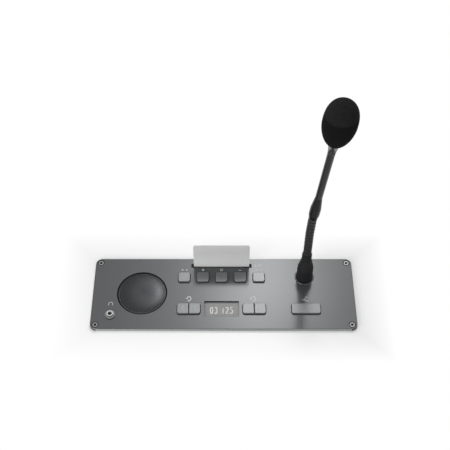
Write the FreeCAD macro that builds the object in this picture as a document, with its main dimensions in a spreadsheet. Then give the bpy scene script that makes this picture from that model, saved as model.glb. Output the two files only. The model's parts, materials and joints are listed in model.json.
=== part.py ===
import FreeCAD, Part

import math
import os
import re

import Sketcher

# Flush-mounted conference delegate unit. Millimetres, +Z up, +X to the user's right, +Y away from the user.
# The origin is the centre of the front panel's underside, the plane that lies on the table.

os.makedirs("parts", exist_ok=True)
doc = FreeCAD.newDocument("DelegateUnit")
sheet = doc.addObject("Spreadsheet::Sheet", "Sizes")

driving = [
    # Front panel
    ("panelLength", 250, "front panel, left to right"),
    ("panelWidth", 80, "front panel, front to back"),
    ("panelThick", 3, "front panel plate"),
    ("panelCorner", 6, "radius of the plate's corners"),
    ("panelEdge", 0.4, "chamfer round the top edge"),
    ("seatRecess", 0.5, "recess under the plate that locates the housing"),
    ("fixingAcross", 240, "panel screws, left to right"),
    ("fixingDeep", 70, "panel screws, front to back"),
    ("screwHeadBore", 3.3, "radius of the counterbore for a panel screw"),
    ("screwHeadSink", 1.6, "depth of that counterbore"),
    ("screwHole", 1.7, "clearance hole radius for an M3 screw"),
    ("screwHead", 2.45, "panel screw head radius"),
    ("screwHeadTall", 1.4, "panel screw head"),
    ("screwNeck", 1.3, "waisted neck of a panel screw, inside the plate"),
    ("screwShank", 1.5, "M3 screw radius"),
    ("screwTip", 0.5, "height of the taper at its tip"),
    ("screwReach", 12, "panel screw below the seat plane"),
    # Loudspeaker
    ("speakerX", -78, "loudspeaker centre"),
    ("speakerHole", 24, "radius of its opening in the panel"),
    ("grilleRim", 23, "radius of the raised grille"),
    ("grilleFlange", 25.2, "radius of the grille's flange"),
    ("grilleThick", 0.8, "grille sheet"),
    ("grilleRise", 1.8, "rise of the grille's dome"),
    ("grillePitch", 2.6, "distance between CAD perforations"),
    ("grilleHole", 0.8, "radius of a CAD perforation"),
    ("gasketInner", 21.5, "inner radius of the foam gasket"),
    ("gasketThick", 1.2, "foam gasket"),
    ("basketRadius", 25.5, "flange of the speaker basket"),
    ("basketThick", 1.2, "flange of the speaker basket"),
    ("basketBore", 20.2, "bore of that flange"),
    ("basketFoot", 14, "radius of the basket's lower plate"),
    ("basketEnd", -12.2, "underside of that plate"),
    ("earPlace", 28.5, "speaker fixing ears from the centre"),
    ("earRadius", 3.2, "speaker fixing ears"),
    ("coneEdge", 17.9, "radius of the speaker cone's rim"),
    ("coneNeck", 6.6, "radius where the cone meets its coil"),
    ("coneSheet", 0.7, "paper of the cone, measured level"),
    ("coneFoot", -7.6, "lower end of the cone"),
    ("coneTall", 6.4, "height of the cone"),
    ("coilRadius", 6.3, "voice coil"),
    ("coilSheet", 0.4, "voice coil winding and tube"),
    ("coilLong", 7.9, "voice coil"),
    ("rollRadius", 19.2, "middle of the rolled surround"),
    ("rollSize", 1.3, "radius of the roll's section"),
    ("rollSheet", 0.4, "rubber of the surround"),
    ("magnetRadius", 14, "magnet ring"),
    ("magnetBore", 8, "magnet ring"),
    ("magnetThick", 6, "magnet ring"),
    ("platePlay", 0.8, "gap between the coil and the front plate"),
    ("plateThick", 2.2, "front plate on the magnet"),
    ("yokeThick", 2.6, "plate of the yoke"),
    ("poleRadius", 5.3, "pole of the yoke"),
    # Small M2.5 screws
    ("tapRadius", 1.25, "threaded hole for a small screw"),
    ("smallHole", 1.35, "clearance hole for a small screw"),
    ("smallHead", 2.2, "head radius of a small screw"),
    ("smallHeadTall", 1.4, "head of a small screw"),
    ("smallShank", 1.2, "shank radius of a small screw"),
    ("tapDepth", 1.7, "threads in the panel above the recess"),
    # Voting keys
    ("keyTop", 5, "height of the key tops"),
    ("voteKeyLong", 11.5, "voting key, left to right"),
    ("voteKeyWide", 11, "voting key, front to back"),
    ("voteKeyPitch", 18, "distance between voting keys"),
    ("rowMiddleX", -2.05, "middle of the voting keys, card and display"),
    ("voteKeyY", 17.45, "voting keys, front to back"),
    ("keyGap", 0.4, "gap between a key and its opening"),
    ("keyCorner", 2.2, "corner radius of a key"),
    ("keySoftEdge", 0.6, "rounding of a key's top edge"),
    ("keyTravel", 1, "stroke of every key"),
    ("keyLip", 0.9, "retaining lip of a key, front and back"),
    ("keyStem", 3.2, "side of the key stem"),
    ("keyStemEnd", -6.5, "lower end of the key stem"),
    ("keyDepth", 1.4, "cap and lip of a key below the recess"),
    ("lipThick", 1.3, "retaining lip of a key"),
    ("switchSide", 7, "switch on the board"),
    ("switchWell", 2.7, "radius of the well that the stem enters"),
    # Lower key row
    ("rowLowY", -18.25, "lower keys, front to back"),
    ("pairKeyLong", 10.85, "channel and volume key, left to right"),
    ("pairKeyWide", 11.5, "channel and volume key, front to back"),
    ("pairSplit", 0.3, "gap between the two keys of a pair"),
    ("channelPairX", -33, "middle of the channel pair"),
    ("volumePairX", 28.9, "middle of the volume pair"),
    ("micKeyX", 77.8, "microphone key"),
    ("micKeyLong", 27.4, "microphone key, left to right"),
    ("micKeyWide", 11.2, "microphone key, front to back"),
    # Display
    ("windowLong", 33, "display window, left to right"),
    ("windowWide", 17.5, "display window, front to back"),
    ("windowY", -17.85, "display window, front to back place"),
    ("windowSink", 1.8, "lens below the panel's face"),
    ("windowGap", 0.3, "gap round the lens in its window"),
    ("lensLip", 1.5, "lens flange under the panel"),
    ("crystalThick", 2.4, "liquid crystal panel"),
    ("crystalDrop", 3.1, "underside of that panel below the seat"),
    ("frameTop", -0.6, "upper edge of the display frame"),
    # Card slot, reader and card
    ("slotLong", 59, "slot in the panel"),
    ("slotWide", 5, "slot in the panel"),
    ("slotY", 31.5, "slot, front to back place"),
    ("cardLong", 53.98, "width of an ID-1 card"),
    ("cardTall", 85.6, "length of an ID-1 card"),
    ("cardThick", 0.76, "thickness of an ID-1 card"),
    ("cardCorner", 3.18, "corner radius of an ID-1 card"),
    ("cardY", 31.85, "card, front to back place"),
    ("cardShow", 33.5, "card above the panel's face"),
    ("readerLong", 60, "card reader, left to right"),
    ("readerThick", 4.6, "card reader, front to back"),
    ("readerShift", 0.45, "middle of the card reader in front of the card"),
    ("readerTop", -1, "upper end of the card reader"),
    ("readerBottom", -52, "lower end of the card reader"),
    ("readerEar", 6, "fixing ears beside the card reader"),
    ("readerEarThick", 2.4, "fixing ears beside the card reader"),
    ("cardPlayLong", 0.8, "play of the card in its channel, left to right"),
    ("cardPlayThick", 0.5, "play of the card in its channel, front to back"),
    ("mouthWide", 1.5, "card opening in the slot liner, front to back"),
    ("funnelWide", 3.4, "lead-in above that opening, front to back"),
    ("contactCount", 4, "contacts in each of two rows"),
    ("contactPitch", 3, "distance between contacts"),
    ("carrierLong", 15, "contact carrier, left to right"),
    ("carrierTall", 13, "contact carrier"),
    ("carrierFoot", -43, "lower end of the contact carrier"),
    # Headphone socket
    ("jackX", -106.8, "headphone socket"),
    ("jackY", -24.5, "headphone socket"),
    ("jackBore", 1.8, "bore for a 3.5 mm plug"),
    ("jackDeep", 14, "depth of that bore"),
    ("jackProud", 3, "socket above the panel's face"),
    ("jackBarrel", 3.05, "threaded barrel radius"),
    ("jackNut", 4.9, "nut radius"),
    ("jackNutTall", 1.1, "straight part of the nut"),
    ("jackNutSlope", 0.7, "sloping part of the nut"),
    ("jackBlockLong", 9, "moulded body, left to right"),
    ("jackBlockWide", 10, "moulded body, front to back"),
    ("jackBlockTall", 13, "moulded body"),
    # Microphone foot
    ("micX", 78.1, "microphone"),
    ("micY", 18.6, "microphone"),
    ("socketHole", 9, "radius of the microphone socket in the panel"),
    ("socketBore", 6.6, "radius of its bore"),
    ("socketDepth", 22, "socket below the panel's seat"),
    ("ringOuter", 9.4, "bright ring round the socket"),
    ("ringInner", 7.9, "bright ring round the socket"),
    ("ringProud", 0.6, "height of that ring"),
    ("plugRadius", 6.3, "microphone plug"),
    ("plugEnd", -17, "lower end of the plug"),
    ("plugBore", 5.3, "bore of the plug, and its insert"),
    ("spigotRadius", 5.8, "plug spigot inside the sleeve"),
    ("spigotBore", 4.2, "plug spigot inside the sleeve"),
    ("spigotLong", 9, "plug spigot inside the sleeve"),
    ("pinCount", 5, "contacts of the microphone"),
    ("pinCircle", 3.4, "radius of the ring of contacts"),
    ("pinRadius", 0.5, "contact pin"),
    ("pinLong", 9, "contact pin"),
    ("sleeveRadius", 7.6, "black sleeve"),
    ("sleeveShoulder", 20, "height where the sleeve starts to taper"),
    ("sleeveTaperEnd", 33.5, "height where the taper ends"),
    ("collarRadius", 4.7, "top of the sleeve"),
    ("neckStart", 41, "height where the flexible neck starts"),
    # Flexible neck and head, measured along the neck
    ("neckLong", 56, "flexible stretch"),
    ("neckRadius", 3.9, "crest of the neck's ribs"),
    ("neckGroove", 3.45, "groove between the ribs"),
    ("neckBore", 0.9, "wire bore"),
    ("linkGap", 0.85, "half of the gap between two links"),
    ("ballRadius", 2.3, "ball between two links"),
    ("ballPlay", 0.2, "clearance round that ball"),
    ("headLean", 5.5, "lean of the microphone head in degrees"),
    ("midLean", 2.4, "lean halfway up the neck in degrees"),
    ("couplingWide", 4.85, "widest radius of the coupling"),
    ("couplingLong", 28, "length of the coupling"),
    ("couplingLip", 5, "widening lower end of the coupling"),
    ("couplingBand", 8, "straight stretch of the coupling"),
    ("tubeRadius", 3.15, "rigid tube at its lower end"),
    ("tubeSpread", 0.15, "by how much the tube is wider at its upper end"),
    ("tubeLong", 56, "rigid tube"),
    ("ledFlare", 5.7, "wide end of the light ring"),
    ("ledLong", 13, "length of the light ring"),
    ("ledWaist", 4.4, "radius halfway up the light ring"),
    ("ledNose", 6, "length of the tapering core inside the ring"),
    ("coreRadius", 1, "thin core above that"),
    ("capsuleRadius", 5.2, "capsule housing"),
    ("capsuleLong", 26, "capsule housing"),
    ("capsuleWall", 0.7, "capsule housing"),
    ("capsuleCan", 8, "length of the capsule"),
    ("foamRadius", 14.3, "foam windscreen at its widest"),
    ("foamUpper", 22.4, "windscreen above its widest place"),
    ("foamLower", 26, "windscreen below its widest place"),
    ("foamFromPivot", 124.75, "widest place of the windscreen from the last neck pivot"),
    ("foamLift", 0.15, "gap between the light ring and the windscreen"),
    # Housing
    ("housingLong", 228, "housing under the table, left to right"),
    ("housingWide", 72, "housing, front to back"),
    ("housingFloor", -58, "underside of the housing"),
    ("housingWall", 2, "wall of the housing"),
    ("housingCorner", 6, "corner radius of the housing"),
    ("pillarX", 96, "housing screws, left and right"),
    ("pillarY", 30.2, "housing screws, front and back"),
    ("pillarEnd", -8, "lower end of the panel's pillars"),
    ("pillarRadius", 3, "panel's pillars"),
    ("postRadius", 4.6, "screw posts of the housing"),
    ("postHeadBore", 3, "radius of the bore for a housing screw"),
    ("postHeadDepth", 44, "depth of that bore"),
    # Boards
    ("boardLeft", -51, "main board"),
    ("boardRight", 108, "main board"),
    ("boardHalf", 25.2, "main board, half of its width"),
    ("boardTop", -10, "upper face of the main board"),
    ("boardThick", 1.6, "both boards"),
    ("guideTop", -2.4, "upper face of the key guide"),
    ("guideThick", 2.2, "key guide plate"),
    ("netBoardTop", -39.9, "upper face of the network board"),
    ("netSocketLong", 16, "network socket, left to right"),
    ("netSocketWide", 13.4, "network socket, front to back"),
    ("netSocketX", 75, "middle of the two network sockets"),
    ("netSocketPitch", 22, "distance between the network sockets"),
    ("netPlugLong", 11.9, "opening for a network plug, left to right"),
    ("netPlugWide", 7, "opening for a network plug, front to back"),
    ("netPlugDeep", 12.5, "opening for a network plug"),
]

for row, (alias, value, note) in enumerate(driving, start=1):
    sheet.set(f"A{row}", alias)
    sheet.set(f"B{row}", str(value))
    sheet.set(f"C{row}", note)
    sheet.setAlias(f"B{row}", alias)
doc.recompute()
aliases = {entry[0] for entry in driving}
nodes = []


def size(alias):
    return float(sheet.get(alias))


def tied(text):
    # Turns "panelLength / 2" into an expression on the sheet's cells
    return re.sub(r"[A-Za-z]\w*", lambda m: f"Sizes.{m[0]}" if m[0] in aliases else m[0], str(text))


def worth(text):
    return float(sheet.evalExpression(tied(text)))


def bind(thing, **expressions):
    for path, text in expressions.items():
        thing.setExpression(path.replace("__", "."), tied(text))
    return thing


def place(thing, where):
    bind(thing, Placement__Base__x=where[0], Placement__Base__y=where[1], Placement__Base__z=where[2])
    return thing


def keep(thing, label):
    thing.Label = label
    nodes.append(thing)
    return thing


# Part primitives and booleans, all tied to the sheet

def block(name, corner, dims):
    box = bind(doc.addObject("Part::Box", name), Length=dims[0], Width=dims[1], Height=dims[2])
    return place(box, corner)


def centredBlock(name, middle, dims, bottom):
    corner = (f"{middle[0]} - ({dims[0]}) / 2", f"{middle[1]} - ({dims[1]}) / 2", bottom)
    return block(name, corner, dims)


def rod(name, foot, radius, height):
    return place(bind(doc.addObject("Part::Cylinder", name), Radius=radius, Height=height), foot)


def taper(name, foot, lower, upper, height):
    return place(bind(doc.addObject("Part::Cone", name), Radius1=lower, Radius2=upper, Height=height), foot)


def ball(name, middle, radius):
    return place(bind(doc.addObject("Part::Sphere", name), Radius=radius), middle)


def fuse(name, things):
    joined = doc.addObject("Part::MultiFuse", name)
    joined.Shapes = things
    return joined


def cut(name, base, tools):
    carved = doc.addObject("Part::Cut", name)
    carved.Base = base
    carved.Tool = tools[0] if len(tools) == 1 else fuse(name + "Tools", tools)
    return carved


def common(name, things):
    shared = doc.addObject("Part::MultiCommon", name)
    shared.Shapes = things
    return shared


def group(name, things):
    several = doc.addObject("Part::Compound", name)
    several.Links = things
    return several


def pipe(name, foot, outer, inner, height):
    x, y, z = foot
    hole = rod(name + "Hole", (x, y, f"{z} - 1"), inner, f"{height} + 2")
    return cut(name, rod(name + "Wall", foot, outer, height), [hole])


# PartDesign bodies made from sketches on their own origin planes

def newBody(label):
    body = doc.addObject("PartDesign::Body", label + "Body")
    return keep(body, label)


def newSketch(body, name, height="0", role="XY_Plane"):
    sketch = body.newObject("Sketcher::SketchObject", name)
    plane = [feature for feature in body.Origin.OriginFeatures if feature.Role == role][0]
    sketch.AttachmentSupport = [(plane, "")]
    sketch.MapMode = "FlatFace"
    bind(sketch, AttachmentOffset__Base__z=height)
    return sketch


def fixPoint(sketch, geometry, position, x, y):
    # Ties one point of the sketch to its origin. Distances are positive, so the sign sets the order
    for kind, text in (("DistanceX", x), ("DistanceY", y)):
        value = worth(text)
        if abs(value) < 1e-9:
            axis = -2 if kind == "DistanceX" else -1
            sketch.addConstraint(Sketcher.Constraint("PointOnObject", geometry, position, axis))
        elif value > 0:
            index = sketch.addConstraint(Sketcher.Constraint(kind, -1, 1, geometry, position, value))
            sketch.setExpression(f"Constraints[{index}]", tied(text))
        else:
            index = sketch.addConstraint(Sketcher.Constraint(kind, geometry, position, -1, 1, -value))
            sketch.setExpression(f"Constraints[{index}]", tied(f"-({text})"))


def rectangle(sketch, middle, dims):
    x = worth(middle[0]) - worth(dims[0]) / 2
    y = worth(middle[1]) - worth(dims[1]) / 2
    long, wide = worth(dims[0]), worth(dims[1])
    corners = [(x, y), (x + long, y), (x + long, y + wide), (x, y + wide)]
    first = sketch.GeometryCount
    for i in range(4):
        start, end = corners[i], corners[(i + 1) % 4]
        sketch.addGeometry(Part.LineSegment(FreeCAD.Vector(*start, 0), FreeCAD.Vector(*end, 0)), False)
    for i in range(4):
        sketch.addConstraint(Sketcher.Constraint("Coincident", first + i, 2, first + (i + 1) % 4, 1))
        sketch.addConstraint(Sketcher.Constraint("Vertical" if i % 2 else "Horizontal", first + i))
    for line, kind, text in ((first, "DistanceX", dims[0]), (first + 1, "DistanceY", dims[1])):
        index = sketch.addConstraint(Sketcher.Constraint(kind, line, 1, line, 2, worth(text)))
        sketch.setExpression(f"Constraints[{index}]", tied(text))
    fixPoint(sketch, first, 1, f"{middle[0]} - ({dims[0]}) / 2", f"{middle[1]} - ({dims[1]}) / 2")


def circle(sketch, middle, radius):
    centre = FreeCAD.Vector(worth(middle[0]), worth(middle[1]), 0)
    index = sketch.addGeometry(Part.Circle(centre, FreeCAD.Vector(0, 0, 1), worth(radius)), False)
    bound = sketch.addConstraint(Sketcher.Constraint("Radius", index, worth(radius)))
    sketch.setExpression(f"Constraints[{bound}]", tied(radius))
    fixPoint(sketch, index, 3, middle[0], middle[1])


def pad(body, sketch, name, length, downward=False):
    feature = body.newObject("PartDesign::Pad", name)
    feature.Profile = sketch
    feature.Reversed = downward
    bind(feature, Length=length)
    doc.recompute()
    return feature


def pocket(body, sketch, name, length=None, upward=False, midplane=False):
    before = body.Shape.Volume
    feature = body.newObject("PartDesign::Pocket", name)
    feature.Profile = sketch
    feature.Reversed = upward
    if midplane:
        feature.Midplane = True
    if length is None:
        feature.Type = "ThroughAll"
    else:
        bind(feature, Length=length)
    doc.recompute()
    if body.Shape.Volume > before - 0.01:
        raise RuntimeError(f"{body.Label}: {name} removes nothing")
    return feature


def verticalEdges(shape, spots, near=0.02):
    # Names of the upright straight edges that stand on any of the given spots
    names = []
    for number, edge in enumerate(shape.Edges, start=1):
        a, b = edge.firstVertex().Point, edge.lastVertex().Point
        upright = math.hypot(a.x - b.x, a.y - b.y) < 1e-6 and abs(a.z - b.z) > 1e-6
        if upright and any(math.hypot(a.x - x, a.y - y) < near for x, y in spots):
            names.append(f"Edge{number}")
    return names


def corners(middle, dims):
    x, y, long, wide = (worth(text) for text in (*middle, *dims))
    return [(x + sx * long / 2, y + sy * wide / 2) for sx in (-1, 1) for sy in (-1, 1)]


def levelEdges(shape, height):
    # Names of the edges that lie in one level plane
    names = []
    for number, edge in enumerate(shape.Edges, start=1):
        box = edge.BoundBox
        if abs(box.ZMin - height) < 1e-6 and abs(box.ZMax - height) < 1e-6:
            names.append(f"Edge{number}")
    return names


def soften(body, kind, name, edges, amount):
    feature = body.newObject("PartDesign::" + kind, name)
    feature.Base = (feature.BaseFeature, edges)
    bind(feature, **{"Radius" if kind == "Fillet" else "Size": amount})
    doc.recompute()
    if "Invalid" in feature.State:
        raise RuntimeError(f"{body.Label}: {name} failed on {len(edges)} edges")
    return feature


# Front panel

panel = newBody("front_panel")
outline = newSketch(panel, "PanelOutline")
rectangle(outline, ("0", "0"), ("panelLength", "panelWidth"))
pad(panel, outline, "PanelPlate", "panelThick")
plateCorners = corners(("0", "0"), ("panelLength", "panelWidth"))
soften(panel, "Fillet", "PanelCorners", verticalEdges(panel.Shape, plateCorners), "panelCorner")
soften(panel, "Chamfer", "PanelEdge", levelEdges(panel.Shape, size("panelThick")), "panelEdge")

recess = newSketch(panel, "SeatRecess")
seatMiddle = ("0", "0")
seatDims = ("housingLong + 1", "housingWide + 1")
rectangle(recess, seatMiddle, seatDims)
pocket(panel, recess, "Recess", "seatRecess", upward=True)
seatEdges = verticalEdges(panel.Shape, corners(seatMiddle, seatDims))
soften(panel, "Fillet", "RecessCorners", seatEdges, "housingCorner + 0.5")

voteKeys = [(f"vote_key_{i + 1}", f"rowMiddleX + voteKeyPitch * ({i - 2})") for i in range(5)]
halfPair = "(pairKeyLong + pairSplit) / 2"
pairKeys = [
    ("channel_down_key", f"channelPairX - {halfPair}"),
    ("channel_up_key", f"channelPairX + {halfPair}"),
    ("volume_down_key", f"volumePairX - {halfPair}"),
    ("volume_up_key", f"volumePairX + {halfPair}"),
]
voteHole = ("voteKeyLong + 2 * keyGap", "voteKeyWide + 2 * keyGap")
pairHole = ("2 * pairKeyLong + pairSplit + 2 * keyGap", "pairKeyWide + 2 * keyGap")
micHole = ("micKeyLong + 2 * keyGap", "micKeyWide + 2 * keyGap")
keyOpenings = [((x, "voteKeyY"), voteHole) for _, x in voteKeys]
keyOpenings += [((x, "rowLowY"), pairHole) for x in ("channelPairX", "volumePairX")]
keyOpenings.append((("micKeyX", "rowLowY"), micHole))
displayOpening = (("rowMiddleX", "windowY"), ("windowLong", "windowWide"))
slotOpening = (("rowMiddleX", "slotY"), ("slotLong", "slotWide"))
openings = newSketch(panel, "Openings", "panelThick")
for middle, dims in [*keyOpenings, displayOpening, slotOpening]:
    rectangle(openings, middle, dims)
circle(openings, ("speakerX", "0"), "speakerHole")
circle(openings, ("jackX", "jackY"), "jackBarrel + 0.1")
circle(openings, ("micX", "micY"), "socketHole")
fixings = [(f"{sx} * fixingAcross / 2", f"{sy} * fixingDeep / 2") for sx in (-1, 1) for sy in (-1, 1)]
for spot in fixings:
    circle(openings, spot, "screwHole")
pocket(panel, openings, "ThroughOpenings")
keySpots = [spot for middle, dims in keyOpenings for spot in corners(middle, dims)]
soften(panel, "Fillet", "KeyOpeningCorners", verticalEdges(panel.Shape, keySpots), "keyCorner + keyGap")
windowCorners = verticalEdges(panel.Shape, corners(*displayOpening) + corners(*slotOpening))
soften(panel, "Fillet", "WindowCorners", windowCorners, "0.8")

headBores = newSketch(panel, "HeadBores", "panelThick")
for spot in fixings:
    circle(headBores, spot, "screwHeadBore")
pocket(panel, headBores, "ScrewCounterbores", "screwHeadSink")
grilleSeat = newSketch(panel, "GrilleSeat")
circle(grilleSeat, ("speakerX", "0"), "grilleFlange + 0.2")
pocket(panel, grilleSeat, "GrilleRebate", "seatRecess + grilleThick + 0.1", upward=True)

# Places of the M2.5 screws that come up from below into blind holes in the panel
ear = "earPlace * 0.70711"
speakerFixings = [(f"speakerX + {sx} * {ear}", f"{sy} * {ear}") for sx in (-1, 1) for sy in (-1, 1)]
readerY = "cardY - readerShift"
readerFixings = [(f"rowMiddleX + {sx} * (readerLong + readerEar) / 2", readerY) for sx in (-1, 1)]
standoffs = [(x, y) for x in ("boardLeft + 3.5", "50", "boardRight - 4") for y in ("22.5", "-22.5")]
blindHoles = newSketch(panel, "BlindHoles")
for spot in speakerFixings + readerFixings:
    circle(blindHoles, spot, "tapRadius")
pocket(panel, blindHoles, "ScrewThreads", "seatRecess + tapDepth", upward=True)


# Screws that hold the unit down in the table

def capScrew(name, x, y):
    headSeat = "panelThick - screwHeadSink"
    head = rod(name + "Head", (x, y, headSeat), "screwHead", "screwHeadTall")
    neck = rod(name + "Neck", (x, y, "0"), "screwNeck", headSeat)
    shank = rod(name + "Shank", (x, y, "screwTip - screwReach"), "screwShank", "screwReach - screwTip")
    tip = taper(name + "Tip", (x, y, "0 - screwReach"), "screwShank - 0.4", "screwShank", "screwTip")
    socket = doc.addObject("Part::Prism", name + "Socket")
    socket.Polygon = 6
    bind(socket, Circumradius="screwHead * 0.45", Height="screwHeadTall")
    place(socket, (x, y, f"{headSeat} + screwHeadTall * 0.4"))
    return cut(name, fuse(name + "Blank", [head, neck, shank, tip]), [socket])


panelScrews = [capScrew(f"PanelScrew{i}", x, y) for i, (x, y) in enumerate(fixings)]
keep(group("PanelScrews", panelScrews), "panel_screws")


# Loudspeaker grille: a pressed can with a domed, perforated face

def speakerRod(name, z, radius, height):
    return rod(name, ("speakerX", "0", z), radius, height)


domeRadius = "((grilleRim ^ 2 + grilleRise ^ 2) / (2 * grilleRise))"
faceEdge = "panelThick - 0.6"
domeTop = f"({faceEdge} + grilleRise)"
domeShell = cut(
    "GrilleDomeShell",
    ball("GrilleDomeOuter", ("speakerX", "0", f"{domeTop} - {domeRadius}"), domeRadius),
    [ball("GrilleDomeInner", ("speakerX", "0", f"{domeTop} - {domeRadius}"), f"{domeRadius} - grilleThick")],
)
domeTrim = speakerRod("GrilleDomeTrim", f"{faceEdge} - grilleThick", "grilleRim", "9")
domeCap = common("GrilleDome", [domeShell, domeTrim])
grilleWall = cut(
    "GrilleWall",
    speakerRod("GrilleWallOuter", "seatRecess", "grilleRim", f"{faceEdge} - seatRecess"),
    [speakerRod("GrilleWallInner", "seatRecess - 1", "grilleRim - grilleThick", "9")],
)
grilleFlange = cut(
    "GrilleFlange",
    speakerRod("GrilleFlangeOuter", "seatRecess", "grilleFlange", "grilleThick"),
    [speakerRod("GrilleFlangeInner", "seatRecess - 1", "grilleRim - grilleThick", "9")],
)
perforations = doc.addObject("Part::Feature", "Perforations")
pitch, rings = size("grillePitch"), 8
punches = []
for q in range(-rings, rings + 1):
    for r in range(-rings, rings + 1):
        if abs(q + r) <= rings:
            spot = FreeCAD.Vector(pitch * (q + r / 2), pitch * r * math.sqrt(3) / 2, 0)
            if spot.Length < size("grilleRim") - 2.2:
                punches.append(Part.makeCylinder(size("grilleHole"), 10, spot))
perforations.Shape = Part.makeCompound(punches)
place(perforations, ("speakerX", "0", "-1"))
grilleCan = fuse("GrilleCan", [domeCap, grilleWall, grilleFlange])
keep(cut("Grille", grilleCan, [perforations]), "speaker_grille")

# Loudspeaker drive unit, hung under the panel by four ears
basketTop = "(seatRecess - gasketThick)"
gasketPlace = ("speakerX", "0", basketTop)
keep(pipe("Gasket", gasketPlace, "grilleFlange", "gasketInner", "gasketThick"), "speaker_gasket")
flangeFoot = f"({basketTop} - basketThick)"
basketFlange = speakerRod("BasketFlange", flangeFoot, "basketRadius", "basketThick")
ears = []
earHoles = []
for i, (x, y) in enumerate(speakerFixings):
    ears.append(rod(f"BasketEar{i}", (x, y, flangeFoot), "earRadius", "basketThick"))
    earHoles.append(rod(f"BasketEarHole{i}", (x, y, f"{flangeFoot} - 1"), "smallHole", "basketThick + 2"))
basketPlace = ("speakerX", "0", "basketEnd + 1")
basketRise = f"{flangeFoot} - basketEnd - 1"
basketCone = cut(
    "BasketCone",
    taper("BasketConeOuter", basketPlace, "basketFoot", "basketFoot + 8", basketRise),
    [taper("BasketConeInner", basketPlace, "basketFoot - 1", "basketFoot + 7", basketRise)],
)
basketPlate = pipe("BasketPlate", ("speakerX", "0", "basketEnd"), "basketFoot", "coilRadius + 1.1", "1")
basketWindows = []
for i in range(4):
    window = block(f"BasketWindow{i}", ("speakerX", "0", "basketEnd + 2.6"), ("30", "11", "5.4"))
    window.Placement.Rotation = FreeCAD.Rotation(FreeCAD.Vector(0, 0, 1), 90 * i - 21)
    basketWindows.append(window)
basketBlank = fuse("BasketBlank", [basketFlange, *ears, basketCone, basketPlate])
basketBore = speakerRod("BasketBore", f"{flangeFoot} - 0.1", "basketBore", "3")
keep(cut("Basket", basketBlank, [basketBore, *earHoles, *basketWindows]), "speaker_basket")

# The moving cone with its dust cap, the coil on its tube,
# and the rolled surround that flexes between cone and basket
conePlace = ("speakerX", "0", "coneFoot")
coneShell = cut(
    "ConeShell",
    taper("ConeOuter", conePlace, "coneNeck", "coneEdge", "coneTall"),
    [taper("ConeInner", conePlace, "coneNeck - coneSheet", "coneEdge - coneSheet", "coneTall")],
)
coneRim = pipe("ConeRim", ("speakerX", "0", "coneFoot + coneTall"), "coneEdge", "coneEdge - coneSheet", "0.5")
capMiddle = ("speakerX", "0", "coneFoot - 3.8")
dustCap = common("DustCap", [
    cut("DustCapShell", ball("DustCapOuter", capMiddle, "8.4"), [ball("DustCapInner", capMiddle, "7.8")]),
    speakerRod("DustCapTrim", "coneFoot + 0.4", "7.4", "6"),
])
keep(fuse("Cone", [coneShell, coneRim, dustCap]), "speaker_cone")
coilPlace = ("speakerX", "0", "coneFoot - coilLong")
keep(pipe("Coil", coilPlace, "coilRadius", "coilRadius - coilSheet", "coilLong"), "voice_coil")
rollOutside = bind(doc.addObject("Part::Torus", "SurroundOuter"), Radius1="rollRadius", Radius2="rollSize")
rollInside = bind(doc.addObject("Part::Torus", "SurroundInner"), Radius1="rollRadius",
                  Radius2="rollSize - rollSheet")
surroundRoll = common("SurroundRoll", [
    cut("SurroundShell", rollOutside, [rollInside]),
    rod("SurroundTrim", ("0", "0", "0"), "rollRadius + 3", "3"),
])
surroundLip = pipe("SurroundLip", ("0", "0", "0"), "gasketInner - 0.1", "rollRadius + 0.9", "rollSheet")
surround = keep(fuse("Surround", [surroundRoll, surroundLip]), "speaker_surround")
place(surround, ("speakerX", "0", basketTop))

# Magnet: ring, front plate and yoke with its pole
plateFoot = "(basketEnd - plateThick)"
magnetFoot = f"({plateFoot} - magnetThick)"
platePlace = ("speakerX", "0", plateFoot)
frontPlate = pipe("FrontPlate", platePlace, "magnetRadius - 1", "coilRadius + platePlay", "plateThick")
magnetRing = pipe("MagnetRing", ("speakerX", "0", magnetFoot), "magnetRadius", "magnetBore", "magnetThick")
keep(fuse("Magnet", [frontPlate, magnetRing]), "speaker_magnet")
yokePlate = speakerRod("YokePlate", f"{magnetFoot} - yokeThick", "magnetRadius - 1.5", "yokeThick")
pole = speakerRod("Pole", f"{magnetFoot} - 0.1", "poleRadius", "magnetThick + plateThick - 0.3")
keep(fuse("Yoke", [yokePlate, pole]), "speaker_yoke")

# Display: lens in the panel's window, liquid crystal panel and the frame that stands on the board
windowPlace = ("rowMiddleX", "windowY")
lensTop = "panelThick - windowSink"
lensFlangeDims = ("windowLong + 2 * lensLip", "windowWide + 2 * lensLip", "2 * seatRecess")
lensFlange = centredBlock("LensFlange", windowPlace, lensFlangeDims, "-seatRecess")
lensFaceDims = ("windowLong - 2 * windowGap", "windowWide - 2 * windowGap", f"{lensTop} - seatRecess")
lensFace = centredBlock("LensFace", windowPlace, lensFaceDims, "seatRecess")
keep(fuse("Lens", [lensFlange, lensFace]), "display_lens")
crystalDims = ("windowLong + 1", "windowWide + 0.5", "crystalThick")
keep(centredBlock("LiquidCrystal", windowPlace, crystalDims, "-crystalDrop"), "display_panel")
frameDims = ("windowLong + 4.6", "windowWide + 3", "frameTop - boardTop")
frameWellDims = ("windowLong + 1.2", "windowWide + 0.7", "9")
frameWell = centredBlock("FrameWell", windowPlace, frameWellDims, "-crystalDrop")
frameCore = centredBlock("FrameCore", windowPlace, ("windowLong - 3", "windowWide - 3", "20"), "boardTop - 1")
frameWall = centredBlock("FrameWall", windowPlace, frameDims, "boardTop")
keep(cut("DisplayFrame", frameWall, [frameWell, frameCore]), "display_frame")

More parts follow.
